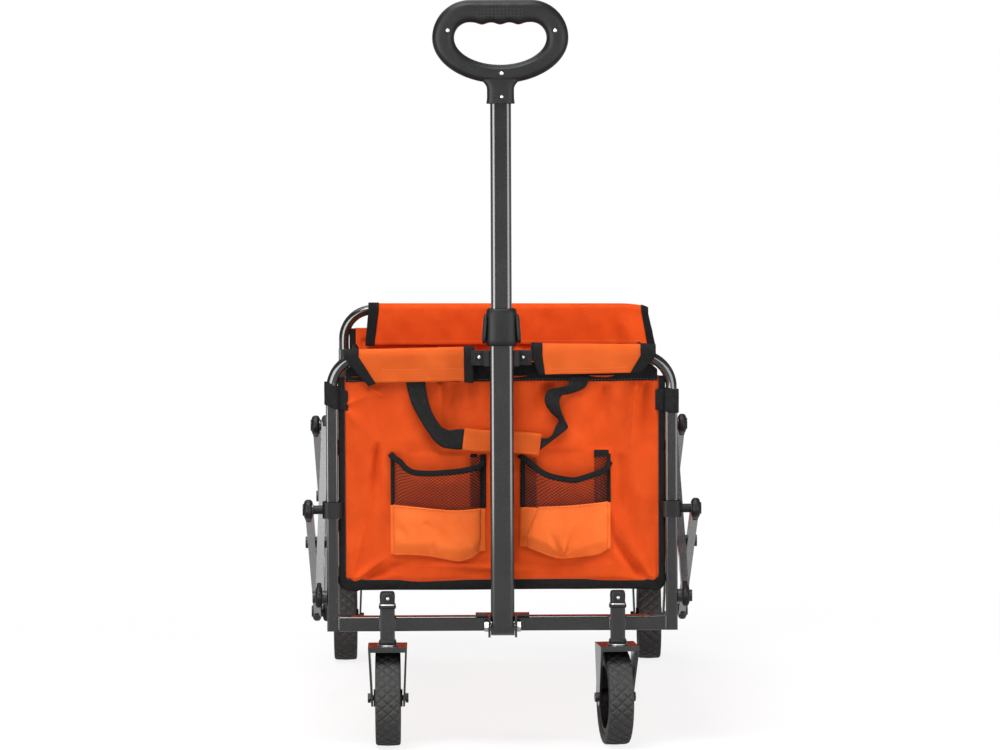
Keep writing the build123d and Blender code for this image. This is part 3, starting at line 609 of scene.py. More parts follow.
# %% [markdown]
# The packed frame says where the posts, bars and pole stand. Reading those places from its nodes,
# rather than typing them again, keeps every new piece on the frame.


# %% Read places from the frame
def span(node):
    """Lowest and highest corner of a CAD node, in millimetres."""
    return tuple(np.array(corner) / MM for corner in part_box(node))


def depth_of(node):
    """Halfway between a CAD node's front and back."""
    low, high = span(node)
    return (low[1] + high[1]) / 2


AHEAD, UPWARD, ACROSS = (np.array(way, float) for way in ((0, -1, 0), (0, 0, 1), (1, 0, 0)))
FRONT_Y, REAR_Y, POLE_Y = map(depth_of, ("front_panel", "rear_panel", "pole_lower"))
BAR_R, BEND_R, POST_HALF = 7.5, 44.0, 8.0
POST_X = span("front_frame_tube")[1][0] - POST_HALF
BAR_Z = span("front_frame_tube")[1][2] - BAR_R
panel_low, panel_high = span("front_panel")
print("front", round(FRONT_Y, 1), "rear", round(REAR_Y, 1), "pole", round(POLE_Y, 1))

# %% [markdown]
# The end panels are cloth stretched between the posts, with slack that gathers into creases. The
# creases run out of the corners, where the cloth is pulled, and from the tabs on the posts. A
# simulation would put them where it likes, so each is a line of its own, with a width and a height. A
# ridge has a narrow crest and a hollow a soft bell, and both widen and fade along their lines.

# %% Lines of the creases
FRONT_CREASES = (
    ((-206, 224), (-140, 270), 8, 2.6),
    ((-206, 224), (-184, 316), 9, 1.3),
    ((-206, 224), (-110, 238), 7, 1.2),
    ((-188, 224), (-112, 262), 8, -2.6),
    ((207, 222), (140, 330), 8, 3.4),
    ((192, 226), (126, 318), 9, -3.4),
    ((207, 222), (180, 346), 9, 0.9),
    ((207, 222), (130, 236), 8, 1.2),
    ((207, 222), (203, 312), 6, 1.0),
    ((-213, 466), (-148, 495), 9, 2.4),
    ((-213, 462), (-166, 412), 11, 1.8),
    ((-180, 489), (-154, 475), 4, 3.0),
    ((198, 502), (194, 366), 10, -5.0),
    ((182, 500), (174, 386), 9, 3.0),
    ((-58, 500), (-62, 412), 13, -5.0),
    ((-84, 498), (-80, 440), 9, 2.6),
    ((62, 500), (58, 424), 14, -4.0),
    ((140, 496), (132, 420), 12, -3.0),
    ((-168, 420), (-176, 262), 11, -4.0),
    ((160, 400), (172, 270), 12, -4.0),
    ((-6, 400), (4, 230), 12, -4.5),
    ((-100, 250), (60, 236), 7, 2.4),
)
REAR_CREASES = (
    ((-206, 226), (-120, 320), 10, 3.6),
    ((206, 226), (118, 310), 10, 3.8),
    ((-208, 480), (-130, 430), 12, 3.2),
    ((206, 488), (120, 440), 12, 3.0),
    ((-30, 490), (-44, 300), 16, -4.0),
    ((90, 490), (70, 330), 14, -3.6),
)
CREST, STEEP = 0.35, 1.7


def crease(x, z, start, end, width, height):
    """Fold along a line: a ridge has a narrow crest, e to the minus distance, a hollow is a bell."""
    run_x, run_z = end[0] - start[0], end[1] - start[1]
    share = ((x - start[0]) * run_x + (z - start[1]) * run_z) / (run_x**2 + run_z**2)
    off = np.hypot(x - start[0] - share * run_x, z - start[1] - share * run_z)
    spread = width * (0.42 + 0.72 * np.clip(share, 0, 1))
    crest = np.exp(CREST - np.hypot(STEEP * off / spread, CREST))
    section = crest if height > 0 else bell(off, spread)
    return height * section * ease(share / 0.12) * ease((1 - share) / 0.7)


print("creases", len(FRONT_CREASES), "in front,", len(REAR_CREASES), "behind")

# %% [markdown]
# Each panel is one sheet over x and z, moved outward by its creases and by a few slow waves that bend
# the whole cloth. It lies calmer behind the pockets, which are sewn to it. A soft limit each way keeps
# the cloth near its plane, and a Solidify modifier then gives it its thickness.

# %% Creased end panels
POCKET_ROOM = ((-158, -16, 246, 404), (16, 154, 246, 408))
POCKET_CALM = 0.85
WAVE_SHARE, FOLD_SHARE = 1.9, 2.7
RIDGE_MOST, HOLLOW_MOST = 4.8, 9.0
PANEL_STEP = 1.8
PANEL_CLOTH = 1.2


def patch(x, z, box, soft=10.0):
    """1 inside a box and 0 outside: four eases multiplied."""
    low_x, high_x, low_z, high_z = box
    wide = ease((x - low_x) / soft) * ease((high_x - x) / soft)
    return wide * ease((z - low_z) / soft) * ease((high_z - z) / soft)


def panel_relief(x, z, creases, calm=()):
    """Creases and three slow waves, eased to a limit each way, damped where pockets are sewn on."""
    low, high = panel_low, panel_high
    inside = ease((x - low[0]) / 30) * ease((high[0] - x) / 30) * ease((z - low[2]) / 24)
    waves = 1.9 * np.sin(x / 37 + 0.6) * np.sin(z / 61 + 0.9) + 1.1 * np.sin(x / 19 - z / 43)
    waves = waves + 0.5 * np.sin(x / 11 + z / 17) * np.sin(z / 29)
    folds = sum(crease(x, z, *line) for line in creases)
    relief = WAVE_SHARE * inside * waves + FOLD_SHARE * folds
    most = np.where(relief > 0, RIDGE_MOST, HOLLOW_MOST)
    relief = most * np.tanh(relief / most) * ease((z - low[2] - 8) / 12)
    return relief * (1 - POCKET_CALM * sum(patch(x, z, box) for box in calm))


def front_relief(x, z):
    """The front panel's relief, calm behind its pockets."""
    return panel_relief(x, z, FRONT_CREASES, POCKET_ROOM)


def rear_relief(x, z):
    """The rear panel's relief."""
    return panel_relief(x, z, REAR_CREASES)


def panel_grid(y, facing, relief):
    """Sheet over x and z: its depth is the end's plane moved outward by the relief."""
    low, high = panel_low, panel_high
    across, up = np.arange(low[0] + 1, high[0], PANEL_STEP), np.arange(low[2] + 3, high[2], PANEL_STEP)
    x, z = np.meshgrid(across, up)
    return xyz(x * facing, y - facing * relief(x, z), z)


def end_panel(end, y, facing, relief):
    """One end's sheet, which stands for the CAD slab of that end."""
    sheet = Skin(f"{end}_panel_cloth").grid(panel_grid(y, facing, relief), ORANGE)
    return sheet.piece(f"{end}_frame", "orange_cloth", PANEL_CLOTH, False, replaces=[f"{end}_panel"])


front_cloth = end_panel("front", FRONT_Y, 1, front_relief)
rear_cloth = end_panel("rear", REAR_Y, -1, rear_relief)
print("panel points", len(front_cloth.data.vertices))

# %% [markdown]
# Black tape binds each panel's cut edges. It is a soft flat band, wider along the foot, with a
# little extra cloth gathered in the lower corners. The band is a squarish oval carried round the
# edge, and its width swells where the path turns. A strip of the same tape closes the gap between
# the panel's top edge and the bar.

# %% Panel bindings
EDGE_TAPE = oval(9.4, 4.6, 16, 3.4)
EDGE_OUT, EDGE_FOOT, EDGE_SEAM = 4.0, 8.4, 15.5
BAND_HALF = {"front": 211.0, "rear": 186.0}


def edge_path(low_x, high_x, foot_z, top_z, corner):
    """Down one side, round a quarter circle, along the foot and up the other side."""
    bend = np.linspace(0, np.pi / 2, 9)
    inset, z = corner * (1 - np.cos(bend)), foot_z + corner * (1 - np.sin(bend))
    x = np.concatenate([[low_x], low_x + inset, high_x - inset[::-1], [high_x]])
    return xyz(x, 0.0, np.concatenate([[top_z], z, z[::-1], [top_z]]))


def edge_tape(skin, y, facing):
    """Squarish oval round the edge, wider along the foot and gathered in its corners."""
    low, high = panel_low, panel_high
    outline = edge_path(low[0] - EDGE_OUT, high[0] + EDGE_OUT, low[2] + EDGE_FOOT, high[2] - 2, 10.0)
    path = even_steps(outline, 4.0)
    foot = bell(path[:, 2] - low[2] - EDGE_FOOT, 8.0)
    corner = bell(np.abs(path[:, 0]) - high[0] + 6, 16.0) * foot
    path[:, 2] += 1.2 * corner * np.sin(path[:, 0] / 2.6) + 0.4 * foot * np.sin(path[:, 0] / 47)
    path[:, 1] = y + 0.5 * np.sin(path[:, 0] / 23) * foot
    skin.solid(sweep(path, EDGE_TAPE, AHEAD * facing, 1.0 + 0.45 * foot + 0.4 * corner), BINDING)
    inner = edge_path(low[0] + 0.2, high[0] - 0.2, low[2] + EDGE_SEAM, high[2] - 8, 7.0)
    inner = even_steps(inner, 5.0)
    inner[:, 1] = y - facing * 2.3
    stitch_row(skin, inner, AHEAD * facing, GREY_THREAD)


def top_band(skin, y, facing, relief, half):
    """Strip from the panel's top edge to the bar; its upper edge follows the bar and its bends."""
    x = np.linspace(-half, half, 131)[None]
    reach = np.clip(np.abs(x) - (POST_X - BEND_R), 0, None)
    under = BAR_Z - BEND_R + np.sqrt((BEND_R - BAR_R - 1.2) ** 2 - reach**2)
    foot = panel_high[2] - 8.5 + 0.5 * np.sin(x / 31)
    z = foot + (under - foot) * np.linspace(0, 1, 12)[:, None]
    near = 1 - ease((z - foot - 2) / 6)
    out = (relief(x, np.minimum(z, panel_high[2] - 2)) + 1.5) * near + 0.4 * (1 - near)
    points = xyz(x, y - facing * out, z)
    skin.grid(points[:, ::facing], BINDING)
    return points[1] - (0, facing * 1.1, 0)


for end, y, facing, relief in (("front", FRONT_Y, 1, front_relief), ("rear", REAR_Y, -1, rear_relief)):
    tape = Skin(f"{end}_panel_binding")
    edge_tape(tape, y, facing)
    tape = tape.piece(f"{end}_frame", "black_webbing")
    band = Skin(f"{end}_top_band")
    line = top_band(band, y, facing, relief, BAND_HALF[end])
    band = band.piece(f"{end}_frame", "black_webbing", 1.4, False)
    thread = Skin(f"{end}_band_stitching")
    stitch_row(thread, line, AHEAD * facing, GREY_THREAD, 4.4, 3.0, 1.1)
    thread = thread.piece(f"{end}_frame", "black_webbing")

# %% [markdown]
# Flaps of the same cloth fold over the top bars and are stitched to themselves. A plane could be bent
# over the bar by hand, but a sleeve is simple to write down: its section runs up the back, over the
# bar in half a circle and down the front, and its ends are cut on a slant.

# %% Sleeve over a bar
CLOSE = ((0, 0), (1, 0))


def along_line(x, line):
    """Value at x of a line through a few points of x and value."""
    return np.interp(x, *np.transpose(line))


def ripple(x, z):
    """Two sine waves across the flap, the shorter one slanted."""
    return 0.8 * np.sin(x / 17 + 0.4) + 0.5 * np.sin(x / 7.3 + z / 9)


def sleeve(y, left, right, feet, radius, puff, outside=0.0, columns=70, stand=CLOSE):
    """Up the back, half round over the bar, down the front, between ends that slant.

    left and right hold an end's x at the bar and at the foot, feet the back and front hems and
    puff the crown's lift, both as lines of x and z. Cloth spans the bar's bends, so it follows
    only a fifth of their fall. stand is how far the front hem hangs away from the bar.
    """
    share = np.linspace(0, 1, columns)[None]
    top_x = left[0] + (right[0] - left[0]) * share
    foot_x = left[1] + (right[1] - left[1]) * share
    reach = np.clip(np.abs(top_x) - (POST_X - BEND_R), 0, BEND_R - 1)
    bar = BAR_Z - 0.2 * (BEND_R - np.sqrt(BEND_R**2 - reach**2))
    crown = along_line(top_x, puff) + radius + outside
    back, front = (along_line(foot_x, hem) - 0.6 * outside for hem in feet)
    rising, falling = np.linspace(1, 0, 13)[:-1, None], np.linspace(0, 1, 18)[1:, None]
    bend = np.linspace(0, np.pi, 15)[:, None]
    slant = foot_x - top_x
    drop = (bar - back) / (bar - front)
    x = np.concatenate([top_x + slant * drop * rising, top_x + 0 * bend, top_x + slant * falling])
    z = [bar + (back - bar) * rising, bar + crown * np.sin(bend), bar + (front - bar) * falling]
    z = np.concatenate(z)
    round_way = np.concatenate([1 + 0 * rising, np.cos(bend), -1 + 0 * falling])
    hang = ease((BAR_Z + 4 - z) / 20) * np.sign(round_way)
    swing = np.concatenate([0 * rising, 0 * bend, ease(falling / 0.7)])
    out = (radius + outside) * round_way + hang * (ripple(x, z) + 0.5)
    return xyz(x, y + out - along_line(foot_x, stand) * swing, z)


def grid_area(points):
    """Area of a grid in square metres: half the cross product of each quad's diagonals, added up."""
    one = points[1:, 1:] - points[:-1, :-1]
    other = points[1:, :-1] - points[:-1, 1:]
    return float(np.linalg.norm(np.cross(one, other), axis=-1).sum() / 2) * MM * MM


print("bar's middle at", round(BAR_Z, 1), "mm")

# %% [markdown]
# Two flaps hang on the front bar, one on each side of the clip, and a long one on the rear bar. Black
# tape binds their ends. The tape could be modelled by itself, but a narrow strip of the flap's own
# sleeve, laid a little outside it and another inside, always agrees with the cloth.

# %% Flaps over the top bars
TAPE_LAP = 0.8
TAPE_OUT, TAPE_IN = 1.2, -0.9


# Flaps take the paler cloth unless given another: painted light from above.
def flap(
    name, node, body, y, ends, feet, puff, tapes, seams, radius=9.2, finish=PALE_TOP_LIT_ORANGE, stand=CLOSE
):
    """Sleeve between two ends, with tape strips of the same sleeve laid over and under each end."""
    left, right = np.array(ends, float)
    points = sleeve(y, left, right, feet, radius, puff, stand=stand)
    cloth = Skin(f"{name}_cloth").grid(points, finish)
    cloth = cloth.piece(body, "orange_cloth", 1.1, False, replaces=[node])
    edge = Skin(f"{name}_binding")
    for start, stop in ((left - TAPE_LAP, left + tapes[0]), (right - tapes[1], right + TAPE_LAP)):
        for outside in (TAPE_OUT, TAPE_IN):
            edge.grid(sleeve(y, start, stop, feet, radius, puff, outside, 9, stand), BINDING)
    edge = edge.piece(body, "black_webbing", 1.0, False)
    thread = Skin(f"{name}_stitching")
    for rise in seams:
        x = np.linspace(max(left) + max(tapes[0]), min(right) - max(tapes[1]), 90)
        z = along_line(x, feet[1]) + rise
        out = radius + 1.1 + ripple(x, z) + along_line(x, stand)
        stitch_row(thread, xyz(x, y - out, z), AHEAD, ORANGE_THREAD)
    thread = thread.piece(body, "orange_cloth")
    area, wide = grid_area(points), float(max(right) - min(left)) * MM


flap(
    "left_flap", "front_flap_left", "front_frame", FRONT_Y, ((-212, -179), (-37.5, -39)),
    (((-220, 492), (0, 492)), ((-185, 491), (-168, 497), (-60, 498.5), (-36, 496))),
    ((-212, -0.5), (-40, 2.8)), ((19, 9), (13.5, 11.5)), (17, 3.5),
)
flap(
    "right_flap", "front_flap_right", "front_frame", FRONT_Y, ((41, 52), (208, 187)),
    (((0, 493), (220, 493)), ((40, 506), (60, 507), (186, 509))),
    ((40, 7.0), (120, 6.0), (208, 5.0)), ((14.5, 7), (20, 13)), (7, 3),
)
flap(
    "back_flap", "rear_flap", "rear_frame", REAR_Y, ((-192, -197), (229, 239)),
    (((-240, 491), (203, 491), (210, 503.5), (244, 503.5)), ((-240, 479), (244, 479))),
    ((-192, 0.9), (229, -1.2)), ((15, 13), (10, 11)), (6,), 8.6, ORANGE,
    ((-200, 0), (184, 0), (204, 8.0)),
)
for name in ("handle_clip", "front_flap_left", "front_flap_right", "rear_flap"):
    print(name, *np.round(span(name), 1))

# %% [markdown]
# The pockets' foot, seam and mouth sag, each in its own way. A few measured points and a smooth curve
# through them describe such a line. What is sewn to the panel follows the panel's own creases, so its
# points are taken from the same relief.


# %% Sagging lines and points on the panel
def height_at(points, x):
    """Heights of the smooth curve through the points, read at x."""
    curve = smooth_path([(px, 0.0, pz) for px, pz in points], 90)
    return np.interp(x, curve[:, 0], curve[:, 2])


def on_panel(x, z, out):
    """Points that stand a little out from the creased front panel."""
    return xyz(x, FRONT_Y - front_relief(x, z) - out, z)


print("relief in the middle", round(float(front_relief(0.0, 350.0)), 2), "mm")

# %% [markdown]
# Two pockets hang on the front panel: orange cloth below, black net above, and a wide tape round the
# sagging mouth. The pouch is a bulge whose depth falls off at its sides and foot, and a gusset joins
# each side to the panel. A cloth simulation would need pins and settling time for the same shape.

# %% Pockets with net tops
MOUTH_TAPE = oval(8.2, 3.0, 16, 3.2)
FOOT_HEM, SEAM_HEM = oval(2.6, 2.2, 10), oval(2.4, 1.6, 10)
FOOT_Z, SEAM_Z, MOUTH_Z = 265.0, 327.0, 382.0
POUCH_DEEP, POUCH_LEAST, POUCH_MOST = 10.6, 2.2, 12.6
POCKET_TURN_IN, POCKET_SLACK = 1.1, 20


def pocket(name, node, sewn, edges, depths, foot, seam, mouth, folds, strips, stubs):
    """A front wall between two edge lines, with a gusset from each edge back to its sewn line."""
    share = np.linspace(0, 1, 57)[None]
    sewn = np.array(sewn, float)

    def across(z):
        """Even steps from the left edge line to the right one, at height z."""
        left, right = (along_line(z, edge) for edge in edges)
        return left + (right - left) * share

    levels = ((foot, FOOT_Z), (seam, SEAM_Z), (mouth, MOUTH_Z))
    foot_z, seam_z, mouth_z = (height_at(line, across(np.full((1, 1), z))) for line, z in levels)
    dome = np.sqrt(np.clip(1 - np.abs(2 * share - 1) ** 5, 0, 1))
    edge_deep = depths[0] * (1 - share) + depths[1] * share

    def wall(low, high, rows, extra):
        """From low to high: edge depth plus a dome, drawn in at the foot, plus folds."""
        z = low + (high - low) * np.linspace(0, 1, rows)[:, None]
        x = across(z)
        out = 1.6 + (edge_deep + (POUCH_DEEP - edge_deep) * dome) * ease((z - foot_z + 7) / 26)
        out = out + extra + sum(crease(x, z, *fold) for fold in folds)
        return xyz(x, FRONT_Y - np.clip(out, POUCH_LEAST, POUCH_MOST), z)

    def gusset(front, side):
        """Straight from the sewn line to the front's edge, or from the edge back on the right."""
        edge = front[:, -side]
        line = on_panel(np.full(len(edge), sewn[side]), edge[:, 2], 1.4)
        start, stop = (edge, line) if side else (line, edge)
        step = np.linspace(0, 1, 7)[None, :, None]
        return start[:, None] * (1 - step) + stop[:, None] * step

    pouch, net = Skin(f"{name}_cloth"), Skin(f"{name}_net")
    front, veil = wall(foot_z, seam_z, 34, 0.5), wall(seam_z - 4, mouth_z, 24, 0.0)
    cut = [front, gusset(front, 0), gusset(front, 1)]
    sheer = [veil, gusset(veil, 0), gusset(veil, 1)]
    for low_x, high_x, low_z, high_z in strips:
        strip = np.meshgrid(np.linspace(low_x, high_x, 9), np.linspace(low_z, high_z, 20))
        sheer.append(on_panel(*strip, 1.3))
    # The pouches and their hems wear the lighter pocket cloth: painted light from above.
    for points in cut:
        pouch.grid(points, POCKET_TOP_LIT_CLOTH)
    for points in sheer:
        net.grid(points, NET)
    pouch = pouch.piece("front_frame", "orange_cloth", 1.0, False, replaces=[node])
    net = net.piece("front_frame", "black_webbing", 0.0, False)

    trim = Skin(f"{name}_trim")
    corners = on_panel(sewn, height_at(mouth, sewn) + 2, 2.2)
    rim = np.concatenate([corners[:1], veil[-1, 1:-1] - (0, 0.9, 2.6), corners[1:]])
    trim.solid(sweep(even_steps(rim, 3.0), MOUTH_TAPE, AHEAD), BINDING)
    for x, low_z, high_z, wide in stubs:
        z = np.linspace(low_z, high_z, 14)
        trim.solid(sweep(on_panel(np.full(14, x), z, 2.0), oval(wide, 2.2, 12, 3.4), AHEAD), BINDING)
    trim = trim.piece("front_frame", "black_webbing")

    hem = Skin(f"{name}_hem")
    hem.solid(sweep(front[0] - (0, 0.2, -0.4), FOOT_HEM, AHEAD), POCKET_TOP_LIT_CLOTH)
    hem.solid(sweep(front[-1] - (0, 0.5, 0), SEAM_HEM, AHEAD), POCKET_TOP_LIT_CLOTH)
    stitch_row(hem, front[-3, 2:-2] - (0, 0.7, 0), AHEAD, ORANGE_THREAD)
    hem = hem.piece("front_frame", "orange_cloth")
    wide = float(sewn[1] - sewn[0] + POCKET_SLACK) * MM
    for item, grids, extras in ((pouch, cut, [hem]), (net, sheer, [trim])):
        area = sum(grid_area(points) for points in grids)


pocket(
    "left_pocket", "pocket_left", (-151, -23),
    (((250, -147), (400, -147)), ((250, -34), (285, -29), (400, -29))), (2.0, 3.0),
    ((-152, 263), (-120, 262.5), (-98, 260.5), (-74, 256), (-57, 253.5), (-40, 259), (-28, 270)),
    ((-152, 330), (-118, 327), (-67, 322), (-28, 324)),
    ((-152, 398), (-139, 393), (-131, 384), (-119, 377.5), (-97, 376), (-77, 377), (-53, 379.5),
     (-36, 383), (-22, 386)),
    (((-108, 308), (-66, 276), 9, -3.0), ((-32, 262), (-58, 296), 5, 2.6),
     ((-142, 304), (-118, 266), 8, -2.0), ((-90, 260), (-97, 286), 4, -2.2),
     ((-60, 318), (-36, 280), 6, -1.6)),
    ((-43, -24, 326, 397),),
    ((-25.5, 326, 398, 8.0), (-148, 330, 394, 5.0), (-38, 394, 398.5, 9.0)),
)
pocket(
    "right_pocket", "pocket_right", (24, 147),
    (((250, 36), (287, 33), (326, 49), (400, 44)), ((250, 140), (285, 143), (400, 143))), (7.5, 2.0),
    ((20, 284), (34, 273), (50, 266), (66, 259.5), (82, 256.5), (110, 259), (130, 262), (146, 272)),
    ((20, 324), (50, 326), (95, 328), (147, 333)),
    ((20, 396), (36, 392), (48, 381), (59, 374), (71, 370), (95, 366), (110, 369), (126, 374),
     (139, 379), (148, 386)),
    (((82, 255), (62, 300), 6, -3.6), ((82, 255), (104, 312), 5, -3.4), ((44, 310), (40, 280), 7, 2.0),
     ((82, 258), (130, 284), 5, 2.4), ((82, 257), (44, 276), 4, -2.4)),
    ((25, 47, 327, 393), (125, 147, 332, 396)),
    ((28.5, 326, 393, 6.0), (145, 332, 398, 5.0), (135, 394, 403, 20.0)),
)

# %% [markdown]
# The carry strap is flat webbing with a folded orange wrap behind the pole. Its left half hangs in
# an easy curve, and its right half is kinked over and twisted. Two measured edge curves describe
# such a ribbon better than a centre line would: the strip is ruled straight from one to the other.

# %% Carry strap
STRAP_EDGES = {
    "left": (
        ((-129, 503, 3), (-129, 497, 4), (-127, 486, 5), (-122, 468, 6), (-116, 456, 6), (-104, 435, 6),
         (-91, 417, 6), (-81, 409, 6), (-67, 406, 6), (-46, 405, 6)),
        ((-102, 503, 3), (-103, 496, 4), (-101, 480, 5), (-97, 464, 6), (-91, 450, 7), (-82, 437, 7),
         (-73, 432, 7), (-68, 432, 7), (-59, 433, 6), (-46, 433, 6)),
    ),
    "right": (
        ((91, 503, 3), (91, 498, 4), (89, 492, 7), (76, 489, 10), (63, 486, 11), (58, 475, 11),
         (60, 465, 9), (67, 455, 7), (77, 445, 6), (73, 436, 8), (68, 425, 9),
         (60, 420, 8), (46, 422, 7)),
        ((118, 503, 3), (117, 497, 4), (114, 490, 4), (104, 484, 5), (91, 480, 6), (82, 478, 8),
         (78, 471, 11), (80, 459, 12), (84, 448, 11), (89, 438, 9), (88, 433, 8),
         (71, 419, 8), (46, 400, 7)),
    ),
}
STRAP_CLEAR = 2.2
WRAP_HALF, WRAP_OUT, WRAP_Z = 52, 7.4, 415.5
WRAP_SECTION = oval(30.0, 7.6, 36, 4.2)


def ribbon(edges, rows=80, columns=9):
    """Ruled strip: each row runs straight from one edge curve to the other, clear of the panel."""
    one, other = (smooth_path([(x, out, z) for x, z, out in edge], rows)[:, None] for edge in edges)
    share = np.linspace(0, 1, columns)[None, :, None]
    x, out, z = np.moveaxis(one * (1 - share) + other * share, -1, 0)
    arch = 2.0 * share[..., 0] * (1 - share[..., 0])
    return xyz(x, FRONT_Y - np.maximum(out + arch, front_relief(x, z) + STRAP_CLEAR), z)


for side, edges in STRAP_EDGES.items():
    strap = Skin(f"carry_strap_{side}").grid(ribbon(edges), WEBBING)
    strap.piece("front_frame", "black_webbing", 1.5, False, replaces=[f"strap_{side}"])

along = np.linspace(-WRAP_HALF, WRAP_HALF, 53)
line = xyz(along, FRONT_Y - WRAP_OUT, WRAP_Z - 0.085 * along + 0.8 * np.sin(along / 19))
section = sweep(line, WRAP_SECTION, AHEAD)
section[:, :, 1] -= 0.8 * np.sin(section[:, :, 0] / 11 + section[:, :, 2] / 8)
# The wrap wears the paler cloth: painted light from above.
wrap = Skin("strap_wrap").solid(section, PALE_TOP_LIT_ORANGE)
stitch_row(wrap, line[4:-4] - (0, 4.9, 11.5), AHEAD, ORANGE_THREAD)
wrap = wrap.piece("front_frame", "orange_cloth", sharp=50, replaces=["strap_grip"])
print("strap points", len(wrap.data.vertices))

# %% [markdown]
# Webbing tabs tie the tub to the front posts. Each is a loop round the square post with a tail that
# is sewn to the panel. The left one has slipped and sits aslant.

# %% Corner tabs
TAB_RING = oval(19.2, 19.2, 40, 5.0)
TAIL_FROM, TAIL_TO, TAIL_OUT = 9.6, 22.0, 3.1


def corner_tab(skin, x, side, middle, half, slant):
    """Loop round a post: a squarish ring, its height sheared across, with soft ripples."""
    ring_x, ring_y = TAB_RING.T
    rows = np.linspace(-half, half, 13)[:, None]
    px = ring_x * (1 + 0.006 * np.sin(rows / 4))
    z = middle + rows - slant * ring_x + 0.7 * np.sin(px / 4 + rows / 7)
    skin.grid(xyz(x + px, FRONT_Y + ring_y, z), WEBBING, ring=True)
    tail_x = np.linspace(x - side * TAIL_FROM, x - side * TAIL_TO, 9)[None]
    tail_z = middle + rows * (1 - 0.15 * np.linspace(0, 1, 9)) - slant * (tail_x - x)
    tail_y = FRONT_Y - TAIL_OUT - 0.2 * np.sin(rows / 4 + tail_x / 3)
    skin.grid(xyz(tail_x, tail_y, tail_z)[:, ::-side], WEBBING)


tabs = Skin("corner_tab_loops")
corner_tab(tabs, -POST_X, -1, 479.0, 15.5, 0.34)
corner_tab(tabs, POST_X, 1, 470.5, 16.0, 0.05)
tabs.piece("front_frame", "black_webbing", 0.9, False, replaces=["corner_tabs"])
print("tabs at", round(POST_X, 1), "mm")

# %% [markdown]
# The long sides of the tub are slack cloth with a sagging top edge, bound in black tape. They crumple
# as the wagon folds. Joints could be hidden in the cloth; here each side is one wavy sheet, and it and
# its tape get meshes of their own.

# %% Side cloths
RIM_TAPE = oval(8.5, 4.2, 14, 3.4)
SIDE_X, SIDE_SAG, REAR_DIP, TOP_LOSS = 212, 84, 30, 0.016
side_low, side_high = span("side_cloth_right")


def crumple(item):
    """Give a piece a mesh of its own."""
    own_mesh(item)


for side, sign in (("left", -1), ("right", 1)):
    run = np.linspace(side_low[1] + 0.5, side_high[1] - 0.5, 221)
    share = (run - run[0]) / (run[-1] - run[0])
    top = side_high[2] - 1 - SIDE_SAG * share * (1 - share) - REAR_DIP * ease((share - 0.86) / 0.1)
    rise = np.linspace(0, 1, 70)[:, None]
    z = side_low[2] + 2 + (top - side_low[2] - 2) * rise
    middle = 4 * share * (1 - share)
    drape = 2.4 * np.sin(run / 34 + 2 * rise) + 1.5 * np.sin(run / 15 - 3.4 * rise) * rise
    x = sign * (SIDE_X - (2 + drape * ease(rise / 0.15)) * ease(middle / 0.25) - 1.2)
    cloth = Skin(f"side_{side}_cloth").grid(xyz(x, run, z)[:, ::sign], ORANGE)
    cloth = cloth.piece("rear_frame", "orange_cloth", 1.2, False, replaces=[f"side_cloth_{side}"])
    rim = xyz(x[-1], run, top - 2.5)
    tape = Skin(f"side_{side}_binding").solid(sweep(rim, RIM_TAPE, ACROSS * sign), BINDING)
    stitch_row(tape, rim + (sign * 2.3, 0, -1), ACROSS * sign, GREY_THREAD, 4.2)
    tape = tape.piece("rear_frame", "black_webbing")
    crumple(cloth)
    crumple(tape)
foot_line = (run, x[0])
print("side cloth", np.round(side_high - side_low))

# %% [markdown]
# The floor of the tub is a sheet sewn to the feet of the sides and of the end panels. Its edge takes
# the line of the side cloth's foot, so that no gap opens between them, and lifts a little at the
# seams.

# %% Floor cloth
floor_z = span("floor_cloth")[0][2]
share, y = np.meshgrid(np.linspace(-1, 1, 90), np.linspace(FRONT_Y + 0.8, REAR_Y - 0.8, 180))
x = share * np.interp(y, foot_line[0], foot_line[1] + 0.6)
z = floor_z + 0.9 + 0.35 * np.sin(x / 23) * np.sin(y / 41) + 1.2 * share**30
z = np.maximum(z, floor_z + 2.4 - 0.2 * np.minimum(y - y.min(), y.max() - y))
bottom = Skin("floor_sheet").grid(xyz(x, y, z), ORANGE)
bottom = bottom.piece("rear_frame", "orange_cloth", 1.0, False, replaces=["floor_cloth"])
crumple(bottom)
print("floor cloth", round(float(np.ptp(x))), "by", round(float(np.ptp(y))), "mm")

# %% [markdown]
# Two boards covered in the same cloth lie on the floor and fold up with the wagon. A bevelled box
# would do for the board, but not for the seam round its top. A squarish outline, drawn in step by
# step from the foot to the middle, gives the rounded edge and the sunk seam in one surface.

# %% Covered boards
BOARD_INSET = np.array([3.0, 1.0, 0.2, 0.0, 0.0, 0.2, 1.0, 3.0, 13.0, 15.0, 17.0])
BOARD_LEVEL = np.array([0.0, 0.3, 1.2, 2.0, 3.2, 4.0, 4.7, 5.0, 5.0, 4.7, 5.0])
BOARD_SEAM = 9

for end in ("rear", "front"):
    low, high = span(f"floor_board_{end}")
    wide, deep = (high - low)[:2]
    ring = oval(wide, deep, 160, 26.0)
    shrink = [1 - BOARD_INSET / (size / 2) for size in (wide, deep)]
    points = stacked(ring, *shrink, *((low + high) / 2)[:2], BOARD_LEVEL + low[2])
    board = Skin(f"covered_board_{end}").solid(points, ORANGE)
    edge = points[BOARD_SEAM] + (0, 0, 0.2)
    stitch_row(board, np.concatenate([edge, edge[:1]]), UPWARD, ORANGE_THREAD, 4.2)
    board.piece(f"board_{end}", "orange_cloth", replaces=[f"floor_board_{end}"])
print("board", round(wide), "by", round(deep), "mm")

